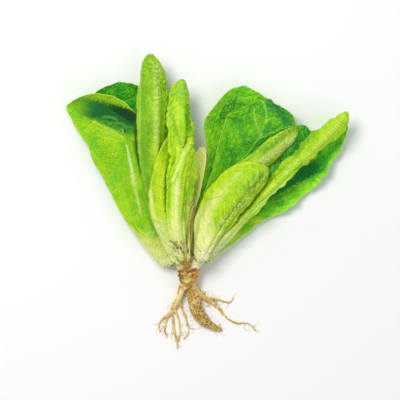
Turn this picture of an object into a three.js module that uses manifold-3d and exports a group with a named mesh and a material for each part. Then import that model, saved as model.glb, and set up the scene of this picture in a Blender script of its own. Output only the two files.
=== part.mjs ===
// A young romaine lettuce pulled up with its roots and laid on a table. Two leafy heads grew
// from one root crown, and each leaf is a solid of its own. Millimetres, +Z up, the table at
// Z = 0, +Y from the roots towards the leaf tips, and the origin under the root crown.
import * as THREE from "three";
import { mergeVertices } from "three/addons/utils/BufferGeometryUtils.js";
import Module from "manifold-3d";

// ---- Driving dimensions ----------------------------------------------------------------------

const LEAF_GAP = 0.9; // clear space between a leaf and what it lies on
const BLADE = 0.8; // thickness of a leaf away from its rib
const RIB_DEPTH = 2.2; // how far the rib stands out of the back at the leaf's base
const RIB_WIDTH = 5; // half-width of the rib at the leaf's base
const BASE_SHARE = 0.4; // share of a leaf's length over which its clasping base opens out
const CLASP_SLOPE = 38; // degrees, how steeply a leaf's base wraps the stem
const TONGUE = 0.8; // how far the base's corners are set back, as a share of its half-width
const TONGUE_SHARE = 0.3; // share of a leaf's length over which that rounding fades out
const ROWS = 20; // steps along a leaf
const COLUMNS = 5; // steps from the rib to each edge
const TIP_CROWDING = 1.7; // how much closer the rows stand towards the tip

const GROUND_CELL = 1; // size of a cell of the height map that leaves settle on
const GROUND_HALF = 220; // the height map reaches this far from the origin each way
const SETTLE_PASSES = 8;
const SMOOTH_PASSES = 40;
const STIFFNESS = 0.96; // how far a lifted spot carries its neighbours with it

// ---- Leaves, from the table upwards ----------------------------------------------------------
// spine: the rib's line on the inner face, from the base to the tip.
// left, right: looking from base to tip, the distances across from the rib to the edge at seven
// stations that crowd towards the tip, then the blade's slope at the rib and at the edge.
// wave: height, number and phase of the waves in the edge. roll: turn about the rib, base to tip.

const side = (reach, ribSlope, edgeSlope) => ({ reach, ribSlope, edgeSlope });

const LOWER_LEAVES = [
  {
    name: "left_back_leaf", colour: 0x3f9a2a, back: "down",
    spine: [[-8, 14, 4], [-23, 50, 3], [-40, 92, 1.2], [-54, 132, 4], [-59, 164.5, 13]],
    left: side([5, 18, 27, 29, 30, 28, 18], 6, 34),
    right: side([5, 18, 28, 33, 31, 25, 14], 6, 34),
    wave: { height: 1.6, count: 3.5, phase: 1 }, roll: [0, 0],
  },
  {
    name: "left_outer_leaf", colour: 0x7cc423, back: "down",
    spine: [
      [-11, 9, 8], [-29, 42, 9], [-43, 75, 9], [-52, 102, 10], [-66, 122, 12], [-85, 134, 14],
      [-103, 144, 17],
    ],
    left: side([12, 20.5, 27, 24.5, 16, 8.5, 3.5], -2, 14),
    right: side([5, 18, 24, 28, 26, 20, 10.5], 26, 60),
    wave: { height: 0.7, count: 3, phase: 2.2 }, roll: [0, -4],
  },
  {
    name: "right_back_leaf", colour: 0x4aa82c, back: "down",
    spine: [[6, 16, 4], [19, 55, 3], [31, 95, 1.2], [43, 132, 4], [48, 161.3, 13]],
    left: side([6, 12, 15.5, 26.5, 24.5, 17.5, 9.5], 8, 36),
    right: side([6, 18, 28, 33, 31, 25, 14], 6, 28),
    wave: { height: 1.4, count: 3, phase: 0.4 }, roll: [0, 0],
  },
  {
    name: "right_outer_leaf", colour: 0x3d9c33, back: "down",
    spine: [[13, 11, 4], [47, 45, 3], [84, 82, 1], [115, 110, 5], [135, 130, 11]],
    left: side([4, 14, 20, 20, 14, 8, 3], 6, 32),
    right: side([2.5, 9.5, 20, 18, 12, 7.5, 4], 10, 36),
    wave: { height: 2, count: 4.5, phase: 0 }, roll: [0, 0],
  },
  {
    name: "right_broad_leaf", colour: 0x4db52f, back: "down",
    spine: [[12, 21, 8], [29, 56, 8], [48, 94, 9], [63, 124, 11], [69, 150, 17]],
    left: side([6, 18.5, 25.5, 32, 30, 19.5, 10], 8, 28),
    right: side([5, 13, 22, 27, 28, 21.5, 6.5], 8, 34),
    wave: { height: 1.8, count: 3.5, phase: 1.8 }, roll: [0, 0],
  },
];

const UPPER_LEAVES = [
  {
    name: "withered_leaf", colour: 0xc9c468, back: "down",
    spine: [[-1, 8, 18], [0, 30, 14], [2.5, 58, 9], [7, 84, 8], [12.5, 110, 9]],
    left: side([2.5, 2.5, 4, 5, 6, 5, 3], 10, 30),
    right: side([2.5, 2.5, 4, 6, 6, 5, 3], 10, 30),
    wave: { height: 0.6, count: 3, phase: 0 }, roll: [0, 0],
  },
  {
    name: "left_inner_leaf", colour: 0x6cb52a, back: "down",
    spine: [[-12, 33, 13], [-20, 62, 14], [-25, 105, 16], [-22, 152, 19]],
    left: side([5, 9, 12, 13, 12, 9, 5], 12, 46),
    right: side([5, 9, 12, 14, 13, 10, 5], 12, 46),
    wave: { height: 1.4, count: 4, phase: 0.7 }, roll: [0, 0],
  },
  {
    name: "right_inner_leaf", colour: 0x48a430, back: "down",
    spine: [[18, 28, 13], [40, 54, 14], [64, 84, 15], [85, 108, 17], [100, 127, 21]],
    left: side([6, 20, 24, 23, 17, 10, 4.5], 10, 44),
    right: side([6, 10, 14, 16, 15, 12, 8], 12, 46),
    wave: { height: 1.6, count: 4, phase: 2.6 }, roll: [0, 0],
  },
  {
    name: "right_long_leaf", colour: 0x9ccf2a, back: "up",
    spine: [[15, 17, 16], [44, 47, 21], [71, 75, 26], [100, 102, 28], [124, 124, 27], [135, 139, 24]],
    left: side([6, 9, 9, 10, 8, 5, 2], -14, -60),
    right: side([5, 5.5, 5, 5, 6.5, 5, 2.5], -14, -56),
    wave: { height: 1.5, count: 6, phase: 0.5 }, roll: [0, 0],
  },
  {
    name: "right_folded_leaf", colour: 0xa6d43a, back: "up",
    spine: [[13, 26, 20], [24, 55, 27], [44, 82, 32], [65, 102, 33], [82, 115, 31], [92, 125, 28]],
    left: side([5, 10, 9.5, 9, 8, 5.5, 3], -14, -60),
    right: side([5, 8, 9, 7.5, 5.5, 4, 2.5], -14, -60),
    wave: { height: 0.9, count: 4, phase: 1.4 }, roll: [0, 0],
  },
  {
    name: "left_tall_leaf", colour: 0x8cca2c, back: "up",
    spine: [[-12, 27, 19], [-20, 56, 26], [-26, 90, 32], [-26, 128, 35], [-27, 162, 34], [-32, 188, 29]],
    left: side([6, 11, 15.5, 17, 14, 11, 6.5], -16, -58),
    right: side([5, 8, 10, 10.5, 9.5, 6.5, 3.5], -14, -58),
    wave: { height: 0.9, count: 4, phase: 0.2 }, roll: [0, 0],
  },
  {
    name: "left_heart_leaf", colour: 0xc2dc4e, back: "up",
    spine: [[-8, 11, 17], [-17, 40, 24], [-22, 72, 31], [-15, 118, 33]],
    left: side([5, 9, 11, 10, 8.5, 6, 3.5], -14, -60),
    right: side([5, 9, 11, 10, 8, 6, 3], -8, -26),
    wave: { height: 0.8, count: 4, phase: 2 }, roll: [0, 0],
  },
  {
    name: "left_small_leaf", colour: 0xb4da44, back: "up",
    spine: [[-2, 13, 15], [-1.5, 40, 20], [0, 70, 24], [2, 92, 25], [3, 110, 24]],
    left: side([4, 5, 6, 6, 5, 4, 2], -14, -50),
    right: side([2.5, 2, 3.5, 6.5, 5, 3.5, 2], -16, -60),
    wave: { height: 0.8, count: 4, phase: 0 }, roll: [0, 0],
  },
  {
    name: "left_side_leaf", colour: 0xa0d22e, back: "up",
    spine: [[-7, 24, 20], [-11, 55, 28], [-10, 85, 34], [-5, 112, 36], [-3, 137, 33], [-4.5, 166.5, 28]],
    left: side([4, 6, 8.5, 13.5, 15, 13, 9], -12, -50),
    right: side([4, 5, 7, 9, 5.5, 4.5, 3], -20, -62),
    wave: { height: 1.4, count: 5, phase: 1.1 }, roll: [0, 0],
  },
  {
    name: "left_front_leaf", colour: 0xc8df5c, back: "up",
    spine: [[-5, 14, 19], [-9.5, 42, 30], [-8.5, 72, 38], [-3, 97, 40], [3, 118, 38]],
    left: side([4.5, 7.5, 9, 8.5, 4.5, 2.5, 1.5], -8, -34),
    right: side([4.5, 6.5, 7.5, 6.5, 5.5, 4, 2.5], -14, -60),
    wave: { height: 0.5, count: 3, phase: 1.6 }, roll: [0, 0],
  },
  {
    name: "right_heart_leaf", colour: 0xcbe070, back: "up",
    spine: [[9, 12, 19], [24, 41, 29], [43, 67, 39], [66.5, 92.5, 38]],
    left: side([7.5, 18.5, 23, 23, 21.5, 16, 7.5], -12, -54),
    right: side([5, 7.5, 10, 10.5, 10, 8.3, 4.6], -14, -60),
    wave: { height: 0.8, count: 4, phase: 0.9 }, roll: [0, 0],
  },
];

// ---- Small maths -----------------------------------------------------------------------------

const radians = THREE.MathUtils.degToRad;
const mix = THREE.MathUtils.lerp;
const smooth = (t) => THREE.MathUtils.smoothstep(t, 0, 1);
const vector = (p) => new THREE.Vector3(p[0], p[1], p[2]);
const splineOf = (points) => new THREE.CatmullRomCurve3(points.map(vector), false, "catmullrom", 0.5);

// ---- A leaf's sheet: rows of points across it, from the base to the tip -----------------------

const fractionAt = (i) => 1 - Math.pow(1 - i / ROWS, TIP_CROWDING);

function reachAt(half, t) {
  const fromBase = 1 - Math.sqrt(Math.max(0, 1 - t));
  const values = splineOf([...half.reach, 0].map((value) => [value, 0, 0]));
  return Math.max(0, values.getPoint(fromBase).x);
}

// How the blade bends away from the rib: s is 0 at the rib and 1 at the edge.
function bendOf(start, end, s) {
  const turn = Math.abs(end - start) < 1e-3 ? 1e-3 : end - start;
  const angle = start + turn * s;
  return {
    run: (Math.sin(angle) - Math.sin(start)) / turn,
    rise: (Math.cos(start) - Math.cos(angle)) / turn,
  };
}

function sheetOf(leaf) {
  const spine = splineOf(leaf.spine);
  const clasp = leaf.back === "up" ? -CLASP_SLOPE : CLASP_SLOPE;
  const rows = [];
  for (let i = 0; i <= ROWS; i += 1) {
    const t = fractionAt(i);
    const along = spine.getTangent(t);
    const across = new THREE.Vector3(along.y, -along.x, 0).normalize();
    const up = new THREE.Vector3().crossVectors(across, along);
    const turn = radians(mix(leaf.roll[0], leaf.roll[1], t));
    across.applyAxisAngle(along, turn);
    up.applyAxisAngle(along, turn);
    const open = smooth(Math.min(1, t / BASE_SHARE));
    const tongue = TONGUE * Math.pow(Math.max(0, 1 - t / TONGUE_SHARE), 2);
    const row = [];
    for (let j = -COLUMNS; j <= COLUMNS; j += 1) {
      const half = j < 0 ? leaf.left : leaf.right;
      const s = Math.abs(j) / COLUMNS;
      const start = radians(mix(clasp / 3, half.ribSlope, open));
      const end = radians(mix(clasp, half.edgeSlope, open));
      const { run, rise } = bendOf(start, end, s);
      const reach = reachAt(half, t);
      const width = reach / bendOf(start, end, 1).run;
      const beat = 2 * Math.PI * leaf.wave.count * t + leaf.wave.phase + (j < 0 ? 0 : 2);
      const swell = leaf.wave.height * s * s * Math.sin(Math.PI * Math.min(1, t));
      row.push(
        spine.getPoint(t)
          .addScaledVector(across, Math.sign(j) * (width * run + 0.5 * swell * Math.sin(beat + 1)))
          .addScaledVector(up, width * rise + swell * Math.sin(beat))
          .addScaledVector(along, tongue * reach * s * s),
      );
    }
    rows.push(row);
  }
  return rows;
}

// Thickness from the rib's depth at the base to the plain blade at the edges and the tip.
function thicknessAt(leaf, i, j) {
  const t = fractionAt(i);
  const half = j < COLUMNS ? leaf.left : leaf.right;
  const distance = (Math.abs(j - COLUMNS) / COLUMNS) * reachAt(half, t);
  const depth = RIB_DEPTH * Math.pow(1 - t, 1.3);
  return BLADE + depth * Math.exp(-Math.pow(distance / RIB_WIDTH, 2));
}

function normalAt(rows, i, j) {
  const behind = rows[Math.max(0, i - 1)][j];
  const ahead = rows[Math.min(ROWS, i + 1)][j];
  const row = rows[Math.min(i, ROWS - 1)];
  const leftward = row[Math.max(0, j - 1)];
  const rightward = row[Math.min(2 * COLUMNS, j + 1)];
  return new THREE.Vector3()
    .crossVectors(rightward.clone().sub(leftward), ahead.clone().sub(behind))
    .normalize();
}

// The inner face is the sheet itself, and the back stands off it by the thickness.
function facesOf(leaf, rows) {
  const away = leaf.back === "up" ? 1 : -1;
  const back = rows.map((row, i) =>
    row.map((point, j) =>
      point.clone().addScaledVector(normalAt(rows, i, j), away * thicknessAt(leaf, i, j)),
    ),
  );
  return leaf.back === "up" ? { top: back, bottom: rows } : { top: rows, bottom: back };
}

// ---- Settling: each leaf is lifted clear of what lies under it ---------------------------------

const groundCells = Math.ceil((2 * GROUND_HALF) / GROUND_CELL);
const ground = new Float64Array(groundCells * groundCells).fill(-LEAF_GAP);
const cellOf = (value) => Math.round((value + GROUND_HALF) / GROUND_CELL);

function raiseGround(a, b, c) {
  const longest = Math.max(a.distanceTo(b), b.distanceTo(c), c.distanceTo(a));
  const steps = Math.ceil((2 * longest) / GROUND_CELL);
  for (let m = 0; m <= steps; m += 1) {
    for (let n = 0; n <= steps - m; n += 1) {
      const u = m / steps;
      const v = n / steps;
      const w = 1 - u - v;
      const cell = cellOf(a.x * w + b.x * u + c.x * v) * groundCells + cellOf(a.y * w + b.y * u + c.y * v);
      ground[cell] = Math.max(ground[cell], a.z * w + b.z * u + c.z * v);
    }
  }
}

function groundUnder(x, y) {
  let highest = -LEAF_GAP;
  for (let dx = -1; dx <= 1; dx += 1) {
    for (let dy = -1; dy <= 1; dy += 1) {
      highest = Math.max(highest, ground[(cellOf(x) + dx) * groundCells + cellOf(y) + dy]);
    }
  }
  return highest;
}

const isTip = (i) => i === ROWS;

// How far each point of the sheet has to rise, asked at the corners and centres of the cells.
function shortfall(bottom) {
  const need = bottom.map((row) => row.map((p) => groundUnder(p.x, p.y) + LEAF_GAP - p.z));
  for (let i = 0; i < ROWS; i += 1) {
    for (let j = 0; j < 2 * COLUMNS; j += 1) {
      const corners = [[i, j], [i + 1, j], [i, j + 1], [i + 1, j + 1]];
      for (const [p, q, r] of [[0, 1, 2], [1, 2, 3]]) {
        const middle = new THREE.Vector3();
        for (const k of [p, q, r]) middle.addScaledVector(bottom[corners[k][0]][corners[k][1]], 1 / 3);
        const rise = groundUnder(middle.x, middle.y) + LEAF_GAP - middle.z;
        for (const k of [p, q, r]) {
          const [a, b] = corners[k];
          need[a][b] = Math.max(need[a][b], rise);
        }
      }
    }
  }
  return need;
}

function settle(leaf, rows) {
  for (let pass = 0; pass < SETTLE_PASSES; pass += 1) {
    const need = shortfall(facesOf(leaf, rows).bottom);
    let lift = need.map((row) => row.map((value) => Math.max(0, value)));
    if (Math.max(...lift.flat()) < 0.02) break;
    for (let n = 0; n < SMOOTH_PASSES; n += 1) {
      lift = lift.map((row, i) =>
        row.map((value, j) => {
          const around = [
            lift[Math.max(0, i - 1)][j], lift[Math.min(ROWS, i + 1)][j],
            row[Math.max(0, j - 1)], row[Math.min(2 * COLUMNS, j + 1)],
          ];
          const mean = (around[0] + around[1] + around[2] + around[3]) / 4;
          return Math.max(0, need[i][j], STIFFNESS * mean);
        }),
      );
      const tipLift = Math.max(...lift[ROWS]);
      lift[ROWS] = lift[ROWS].map(() => tipLift);
    }
    rows.forEach((row, i) => row.forEach((point, j) => (point.z += lift[i][j])));
  }
  const { top } = facesOf(leaf, rows);
  for (let i = 0; i < ROWS; i += 1) {
    for (let j = 0; j < 2 * COLUMNS; j += 1) {
      raiseGround(top[i][j], top[i + 1][j], top[i][j + 1]);
      raiseGround(top[i + 1][j], top[i + 1][j + 1], top[i][j + 1]);
    }
  }
  return rows;
}

// ---- From a settled sheet to a closed solid ---------------------------------------------------

function leafGeometry(leaf, rows) {
  const { top, bottom } = facesOf(leaf, rows);
  const positions = [];
  const index = { top: [], bottom: [] };
  for (const [key, face] of [["top", top], ["bottom", bottom]]) {
    face.forEach((row, i) => {
      index[key].push(
        row.map((point, j) => {
          if (isTip(i) && j > 0) return positions.length / 3 - 1;
          const spot = isTip(i) ? face[i][COLUMNS] : point;
          positions.push(spot.x, spot.y, spot.z);
          return positions.length / 3 - 1;
        }),
      );
    });
  }
  const triangles = [];
  const add = (a, b, c) => {
    if (a !== b && b !== c && c !== a) triangles.push(a, b, c);
  };
  const last = 2 * COLUMNS;
  for (let i = 0; i < ROWS; i += 1) {
    for (let j = 0; j < last; j += 1) {
      const [t, u] = [index.top, index.bottom];
      add(t[i][j], t[i][j + 1], t[i + 1][j]);
      add(t[i + 1][j], t[i][j + 1], t[i + 1][j + 1]);
      add(u[i][j], u[i + 1][j], u[i][j + 1]);
      add(u[i + 1][j], u[i + 1][j + 1], u[i][j + 1]);
    }
  }
  const wall = (t0, t1, u0, u1) => {
    add(t0, t1, u0);
    add(t1, u1, u0);
  };
  for (let j = 0; j < last; j += 1) {
    wall(index.top[0][j + 1], index.top[0][j], index.bottom[0][j + 1], index.bottom[0][j]);
  }
  for (let i = 0; i < ROWS; i += 1) {
    wall(index.top[i][0], index.top[i + 1][0], index.bottom[i][0], index.bottom[i + 1][0]);
    wall(index.top[i + 1][last], index.top[i][last], index.bottom[i + 1][last], index.bottom[i][last]);
  }
  const geometry = new THREE.BufferGeometry();
  geometry.setAttribute("position", new THREE.Float32BufferAttribute(positions, 3));
  geometry.setIndex(triangles);
  geometry.computeVertexNormals();
  return geometry;
}

// ---- Root crown -------------------------------------------------------------------------------
// Each limb is a list of [x, y, z, radius]. The knot's underside is cut flat where it rests.

const TUBE_SIDES = 8;
const TUBE_STEP = 3; // spacing of a limb's rings
const LIMBS = [
  [[-1, -10, 5.6, 3.8], [0, -5, 6.4, 6.2], [0, 0, 6.6, 7.4], [0, 5, 9.4, 6.4]],
  [[0, 1, 9.8, 6.2], [-4, 7, 13, 5.4], [-7, 13, 16, 4.5], [-9, 20, 18, 3.4], [-10, 25, 19, 2.2]],
  [[0, 1, 9.8, 6.2], [4.5, 7, 13, 5.4], [8.5, 12, 16, 4.5], [12, 18, 18, 3.4], [14, 22, 19, 2.2]],
  [[-6.2, -3, 8, 1.9], [-2.5, -5, 11.8, 2.3], [3.4, -4.6, 11.8, 2.2], [6.6, -1, 8.4, 1.8]],
  [[-5.8, 4, 10.5, 1.8], [-2.6, 1.5, 14.4, 2], [1.8, 0.5, 14.8, 2], [5.4, 3, 11.6, 1.7]],
  [[-1, -4, 7, 5], [-4.4, -9, 5.8, 3.6], [-7.2, -18, 4.2, 2.8], [-11, -25, 3, 2.3], [-15, -33, 2.2, 1.6]],
  [[-14, -31, 2, 1.3], [-18, -37, 1.4, 0.9], [-20, -46, 1.1, 0.7], [-18, -54, 0.8, 0.5]],
  [[-14, -31, 2, 1.4], [-13, -37, 1.6, 1.1], [-12, -47, 1.4, 1], [-10, -55, 1.2, 0.9], [-9, -63, 0.8, 0.6]],
  [[-12, -28, 2.4, 1.3], [-8, -38, 1.8, 0.8], [-7, -48, 1.4, 0.7], [-8, -56, 1.1, 0.6]],
  [[-8, -20, 3.6, 1.3], [-4, -32, 2.2, 0.9], [0, -43, 1.3, 0.7], [0, -50, 1, 0.6], [-4, -55, 0.7, 0.5]],
  [[-14, -31, 2, 1.1], [-20, -36, 1.2, 0.7], [-25, -42, 0.9, 0.6], [-24, -49, 0.7, 0.5]],
  [[2, -4, 6.4, 4.4], [4, -16, 5, 4.4], [7, -28, 5, 5.1], [12, -37, 4.3, 4.5], [20, -43, 2.8, 2.8], [29, -47, 1.4, 1]],
  [
    [2, -5, 6, 3.2], [10, -16, 4.2, 2.6], [18, -21, 2.8, 1.8], [24, -26, 1.9, 1.2], [34, -37, 1.1, 0.8],
    [42, -41, 0.9, 0.7], [51, -41, 0.8, 0.6], [60, -49, 0.7, 0.5],
  ],
  [[17, -20, 2.6, 1.3], [24, -20, 1.5, 0.8], [30, -22, 1, 0.7], [36, -23, 0.8, 0.6], [39, -19, 0.7, 0.5]],
];

function limbGeometry(stations) {
  const line = splineOf(stations);
  const radii = splineOf(stations.map((s) => [s[3], 0, 0]));
  const steps = Math.max(4, Math.round(line.getLength() / TUBE_STEP));
  const positions = [];
  const start = line.getPoint(0);
  positions.push(start.x, start.y, start.z);
  const frames = line.computeFrenetFrames(steps, false);
  for (let i = 0; i <= steps; i += 1) {
    const centre = line.getPointAt(i / steps);
    const radius = radii.getPoint(line.getUtoTmapping(i / steps)).x;
    for (let k = 0; k < TUBE_SIDES; k += 1) {
      const angle = (2 * Math.PI * k) / TUBE_SIDES;
      const spot = centre.clone()
        .addScaledVector(frames.normals[i], radius * Math.cos(angle))
        .addScaledVector(frames.binormals[i], radius * Math.sin(angle));
      positions.push(spot.x, spot.y, spot.z);
    }
  }
  const end = line.getPoint(1);
  positions.push(end.x, end.y, end.z);
  const tail = positions.length / 3 - 1;
  const ring = (i, k) => 1 + i * TUBE_SIDES + (k % TUBE_SIDES);
  const triangles = [];
  for (let k = 0; k < TUBE_SIDES; k += 1) {
    triangles.push(0, ring(0, k + 1), ring(0, k));
    for (let i = 0; i < steps; i += 1) {
      triangles.push(ring(i, k), ring(i, k + 1), ring(i + 1, k));
      triangles.push(ring(i + 1, k), ring(i, k + 1), ring(i + 1, k + 1));
    }
    triangles.push(ring(steps, k), ring(steps, k + 1), tail);
  }
  const geometry = new THREE.BufferGeometry();
  geometry.setAttribute("position", new THREE.Float32BufferAttribute(positions, 3));
  geometry.setIndex(triangles);
  return geometry;
}

const wasm = await Module();
wasm.setup();

function solidFrom(geometry) {
  const bare = geometry.clone();
  for (const name of ["normal", "uv"]) bare.deleteAttribute(name);
  const merged = mergeVertices(bare, 1e-4);
  return new wasm.Manifold(
    new wasm.Mesh({
      numProp: 3,
      vertProperties: new Float32Array(merged.attributes.position.array),
      triVerts: new Uint32Array(merged.index.array),
    }),
  );
}

function geometryFrom(solid) {
  const mesh = solid.getMesh();
  const geometry = new THREE.BufferGeometry();
  geometry.setAttribute("position", new THREE.BufferAttribute(new Float32Array(mesh.vertProperties), 3));
  geometry.setIndex(new THREE.BufferAttribute(new Uint32Array(mesh.triVerts), 1));
  geometry.computeVertexNormals();
  return geometry;
}

function crownGeometry() {
  let solid = solidFrom(limbGeometry(LIMBS[0]));
  for (const limb of LIMBS.slice(1)) solid = solid.add(solidFrom(limbGeometry(limb)));
  const table = new THREE.BoxGeometry(300, 300, 40).translate(0, 0, -20);
  return geometryFrom(solid.subtract(solidFrom(table)));
}

// ---- The plant --------------------------------------------------------------------------------

const plant = new THREE.Group();
plant.name = "romaine_lettuce_head";

function addPiece(name, geometry, colour, roughness) {
  const material = new THREE.MeshStandardMaterial({ color: colour, roughness, metalness: 0 });
  const mesh = new THREE.Mesh(geometry, material);
  mesh.name = name;
  plant.add(mesh);
}

const LEAF_ROUGHNESS = 0.45;
const addLeaf = (leaf) =>
  addPiece(leaf.name, leafGeometry(leaf, settle(leaf, sheetOf(leaf))), leaf.colour, LEAF_ROUGHNESS);

LOWER_LEAVES.forEach(addLeaf);

const crown = crownGeometry();
addPiece("root_crown", crown, 0xc9a75a, 0.8);
const corner = (n) => new THREE.Vector3().fromBufferAttribute(crown.attributes.position, crown.index.getX(n));
for (let n = 0; n < crown.index.count; n += 3) raiseGround(corner(n), corner(n + 1), corner(n + 2));

UPPER_LEAVES.forEach(addLeaf);

export default plant;
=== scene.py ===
# %% [markdown]
# # A young romaine lettuce, laid flat on a table
# The plant is two loose heads of leaves on one root crown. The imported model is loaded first, as a
# fixed frame: it says where every leaf is. This script then puts a finer piece in the place of
# each of its solids. Everything is in metres, with Z up and the table at Z = 0.

# %% The frame
import math

import bpy
import numpy as np
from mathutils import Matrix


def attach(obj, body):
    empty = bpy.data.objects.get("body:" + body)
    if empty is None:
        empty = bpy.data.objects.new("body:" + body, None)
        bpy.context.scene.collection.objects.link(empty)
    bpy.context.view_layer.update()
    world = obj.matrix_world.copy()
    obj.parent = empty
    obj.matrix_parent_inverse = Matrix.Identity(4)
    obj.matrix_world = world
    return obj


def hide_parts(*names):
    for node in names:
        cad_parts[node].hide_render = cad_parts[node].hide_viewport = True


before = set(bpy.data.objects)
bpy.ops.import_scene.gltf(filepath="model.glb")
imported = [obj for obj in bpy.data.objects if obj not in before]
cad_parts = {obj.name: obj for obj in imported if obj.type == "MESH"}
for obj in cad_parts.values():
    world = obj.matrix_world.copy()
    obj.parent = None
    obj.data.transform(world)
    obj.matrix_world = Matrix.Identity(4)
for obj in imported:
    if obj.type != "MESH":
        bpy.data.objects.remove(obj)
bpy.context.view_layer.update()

MM = 0.001  # the leaf table below is in millimetres, as a gardener would measure

# %% [markdown]
# ## The camera
# A plant that lies flat reads best from straight above. A long lens far away keeps the near and
# the far leaves at almost the same scale. The view is as wide as the plant with some table round
# it, and its centre lies a little above the crown, in the middle of the fan of leaves.

# %% The camera
SENSOR = 36  # mm
CAMERA_HEIGHT = 2.4
VIEW_WIDTH = 0.340
VIEW_CENTRE = (0.0102, 0.0646)
MID_HEIGHT = 0.018  # the height in the plant at which the view has that width

bpy.ops.object.select_all(action="DESELECT")
bpy.ops.object.camera_add(location=(*VIEW_CENTRE, CAMERA_HEIGHT), rotation=(0, 0, 0))
camera = bpy.context.object
camera.name = "camera"
camera.data.sensor_width = SENSOR
camera.data.lens = SENSOR * (CAMERA_HEIGHT - MID_HEIGHT) / VIEW_WIDTH
bpy.context.scene.camera = camera
print("lens in mm:", round(camera.data.lens))

# %% [markdown]
# ## The leaf table
# A lettuce leaf is a flat blade on a thick rib. Its rib is one curve in space, and the blade
# spreads from it to two edges. Seven distances from the rib to each edge, crowding towards the
# tip, give the outline; a slope at the rib and one at the edge give the fold. A leaf that shows
# its inner face lies cupped like a spoon, and a leaf that shows its back arches over the others.
# The table repeats the model's own driving sizes, so that each fine leaf keeps the form and the
# place of the solid that it stands for.

# %% The leaf table
CLASP_SLOPE = 38  # degrees, how steeply a leaf's base wraps the stem
BASE_SHARE = 0.4  # share of a leaf's length over which its clasping base opens out
TONGUE = 0.8  # how far the base's corners are set back, as a share of its half-width
TONGUE_SHARE = 0.3  # share of a leaf's length over which that rounding fades out
BLADE = 0.8  # mm, thickness of a blade away from its rib
RIB_DEPTH = 2.2  # mm, how far the rib stands out at the leaf's base
RIB_WIDTH = 5  # mm, half-width of the rib at the leaf's base
TIP_CROWDING = 1.7  # how much closer the rows stand towards the tip
DETAILS = dict(
    pucker=0.7,  # mm, how far the blisters puff up
    ruffle=0.35,  # mm, how far the edge waves up and down
    scallop=0.4,  # how far it waves sideways, as a share of that
    ripple=13.0,  # mm from one ruffle to the next
    sway=1.0,  # mm, the slow bending of the whole blade
    pleats=0.0,  # mm, how high the folds along the leaf are
    roll=(0, 0),  # degrees turned about the rib, at the base and at the tip
    glow=0.0,  # the light that comes through a thin blade
)


def leaf(name, back_up, spine, left, right, wave, look, **detail):
    """One leaf, from its base to its tip.

    spine is the line of the rib. left and right are (seven reaches in mm, slope at the rib, slope
    at the edge), wave is (height, number, phase) of the waves in the edge, and what a leaf does
    not say in its detail it takes from DETAILS.
    """
    return {
        **DETAILS, "name": name, "back_up": back_up, "spine": np.array(spine, float),
        "left": left, "right": right, "wave": wave, "look": look, **detail,
    }


LOWER_LEAVES = [
    leaf(
        "left_back_leaf", False,
        [[-8, 14, 4], [-23, 50, 3], [-40, 92, 1.2], [-54, 132, 4], [-59, 164.5, 13]],
        ([5, 18, 27, 29, 30, 28, 18], 6, 34), ([5, 18, 28, 33, 31, 25, 14], 6, 34),
        (1.6, 3.5, 1.0), "deep",
    ),
    leaf(
        "left_outer_leaf", False,
        [[-11, 9, 8], [-29, 42, 9], [-43, 75, 9], [-52, 102, 10], [-66, 122, 12], [-85, 134, 14],
         [-103, 144, 17]],
        ([12, 20.5, 27, 24.5, 16, 8.5, 3.5], -2, 14), ([5, 18, 24, 28, 26, 20, 10.5], 26, 60),
        (0.7, 3.0, 2.2), "sunlit", roll=(0, -4), pucker=0.4, ruffle=0.3,
    ),
    leaf(
        "right_back_leaf", False,
        [[6, 16, 4], [19, 55, 3], [31, 95, 1.2], [43, 132, 4], [48, 161.3, 13]],
        ([6, 12, 15.5, 26.5, 24.5, 17.5, 9.5], 8, 36), ([6, 18, 28, 33, 31, 25, 14], 6, 28),
        (1.4, 3.0, 0.4), "bright",
    ),
    leaf(
        "right_outer_leaf", False,
        [[13, 11, 4], [47, 45, 3], [84, 82, 1], [115, 110, 5], [135, 130, 11]],
        ([4, 14, 20, 20, 14, 8, 3], 6, 32), ([2.5, 9.5, 20, 18, 12, 7.5, 4], 10, 36),
        (2.0, 4.5, 0.0), "bright", glow=0.12, ruffle=1.2, scallop=0.7,
    ),
    leaf(
        "right_broad_leaf", False,
        [[12, 21, 8], [29, 56, 8], [48, 94, 9], [63, 124, 11], [69, 150, 17]],
        ([6, 18.5, 25.5, 32, 30, 19.5, 10], 8, 28), ([5, 13, 22, 27, 28, 21.5, 6.5], 8, 34),
        (1.8, 3.5, 1.8), "green",
    ),
]

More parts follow.
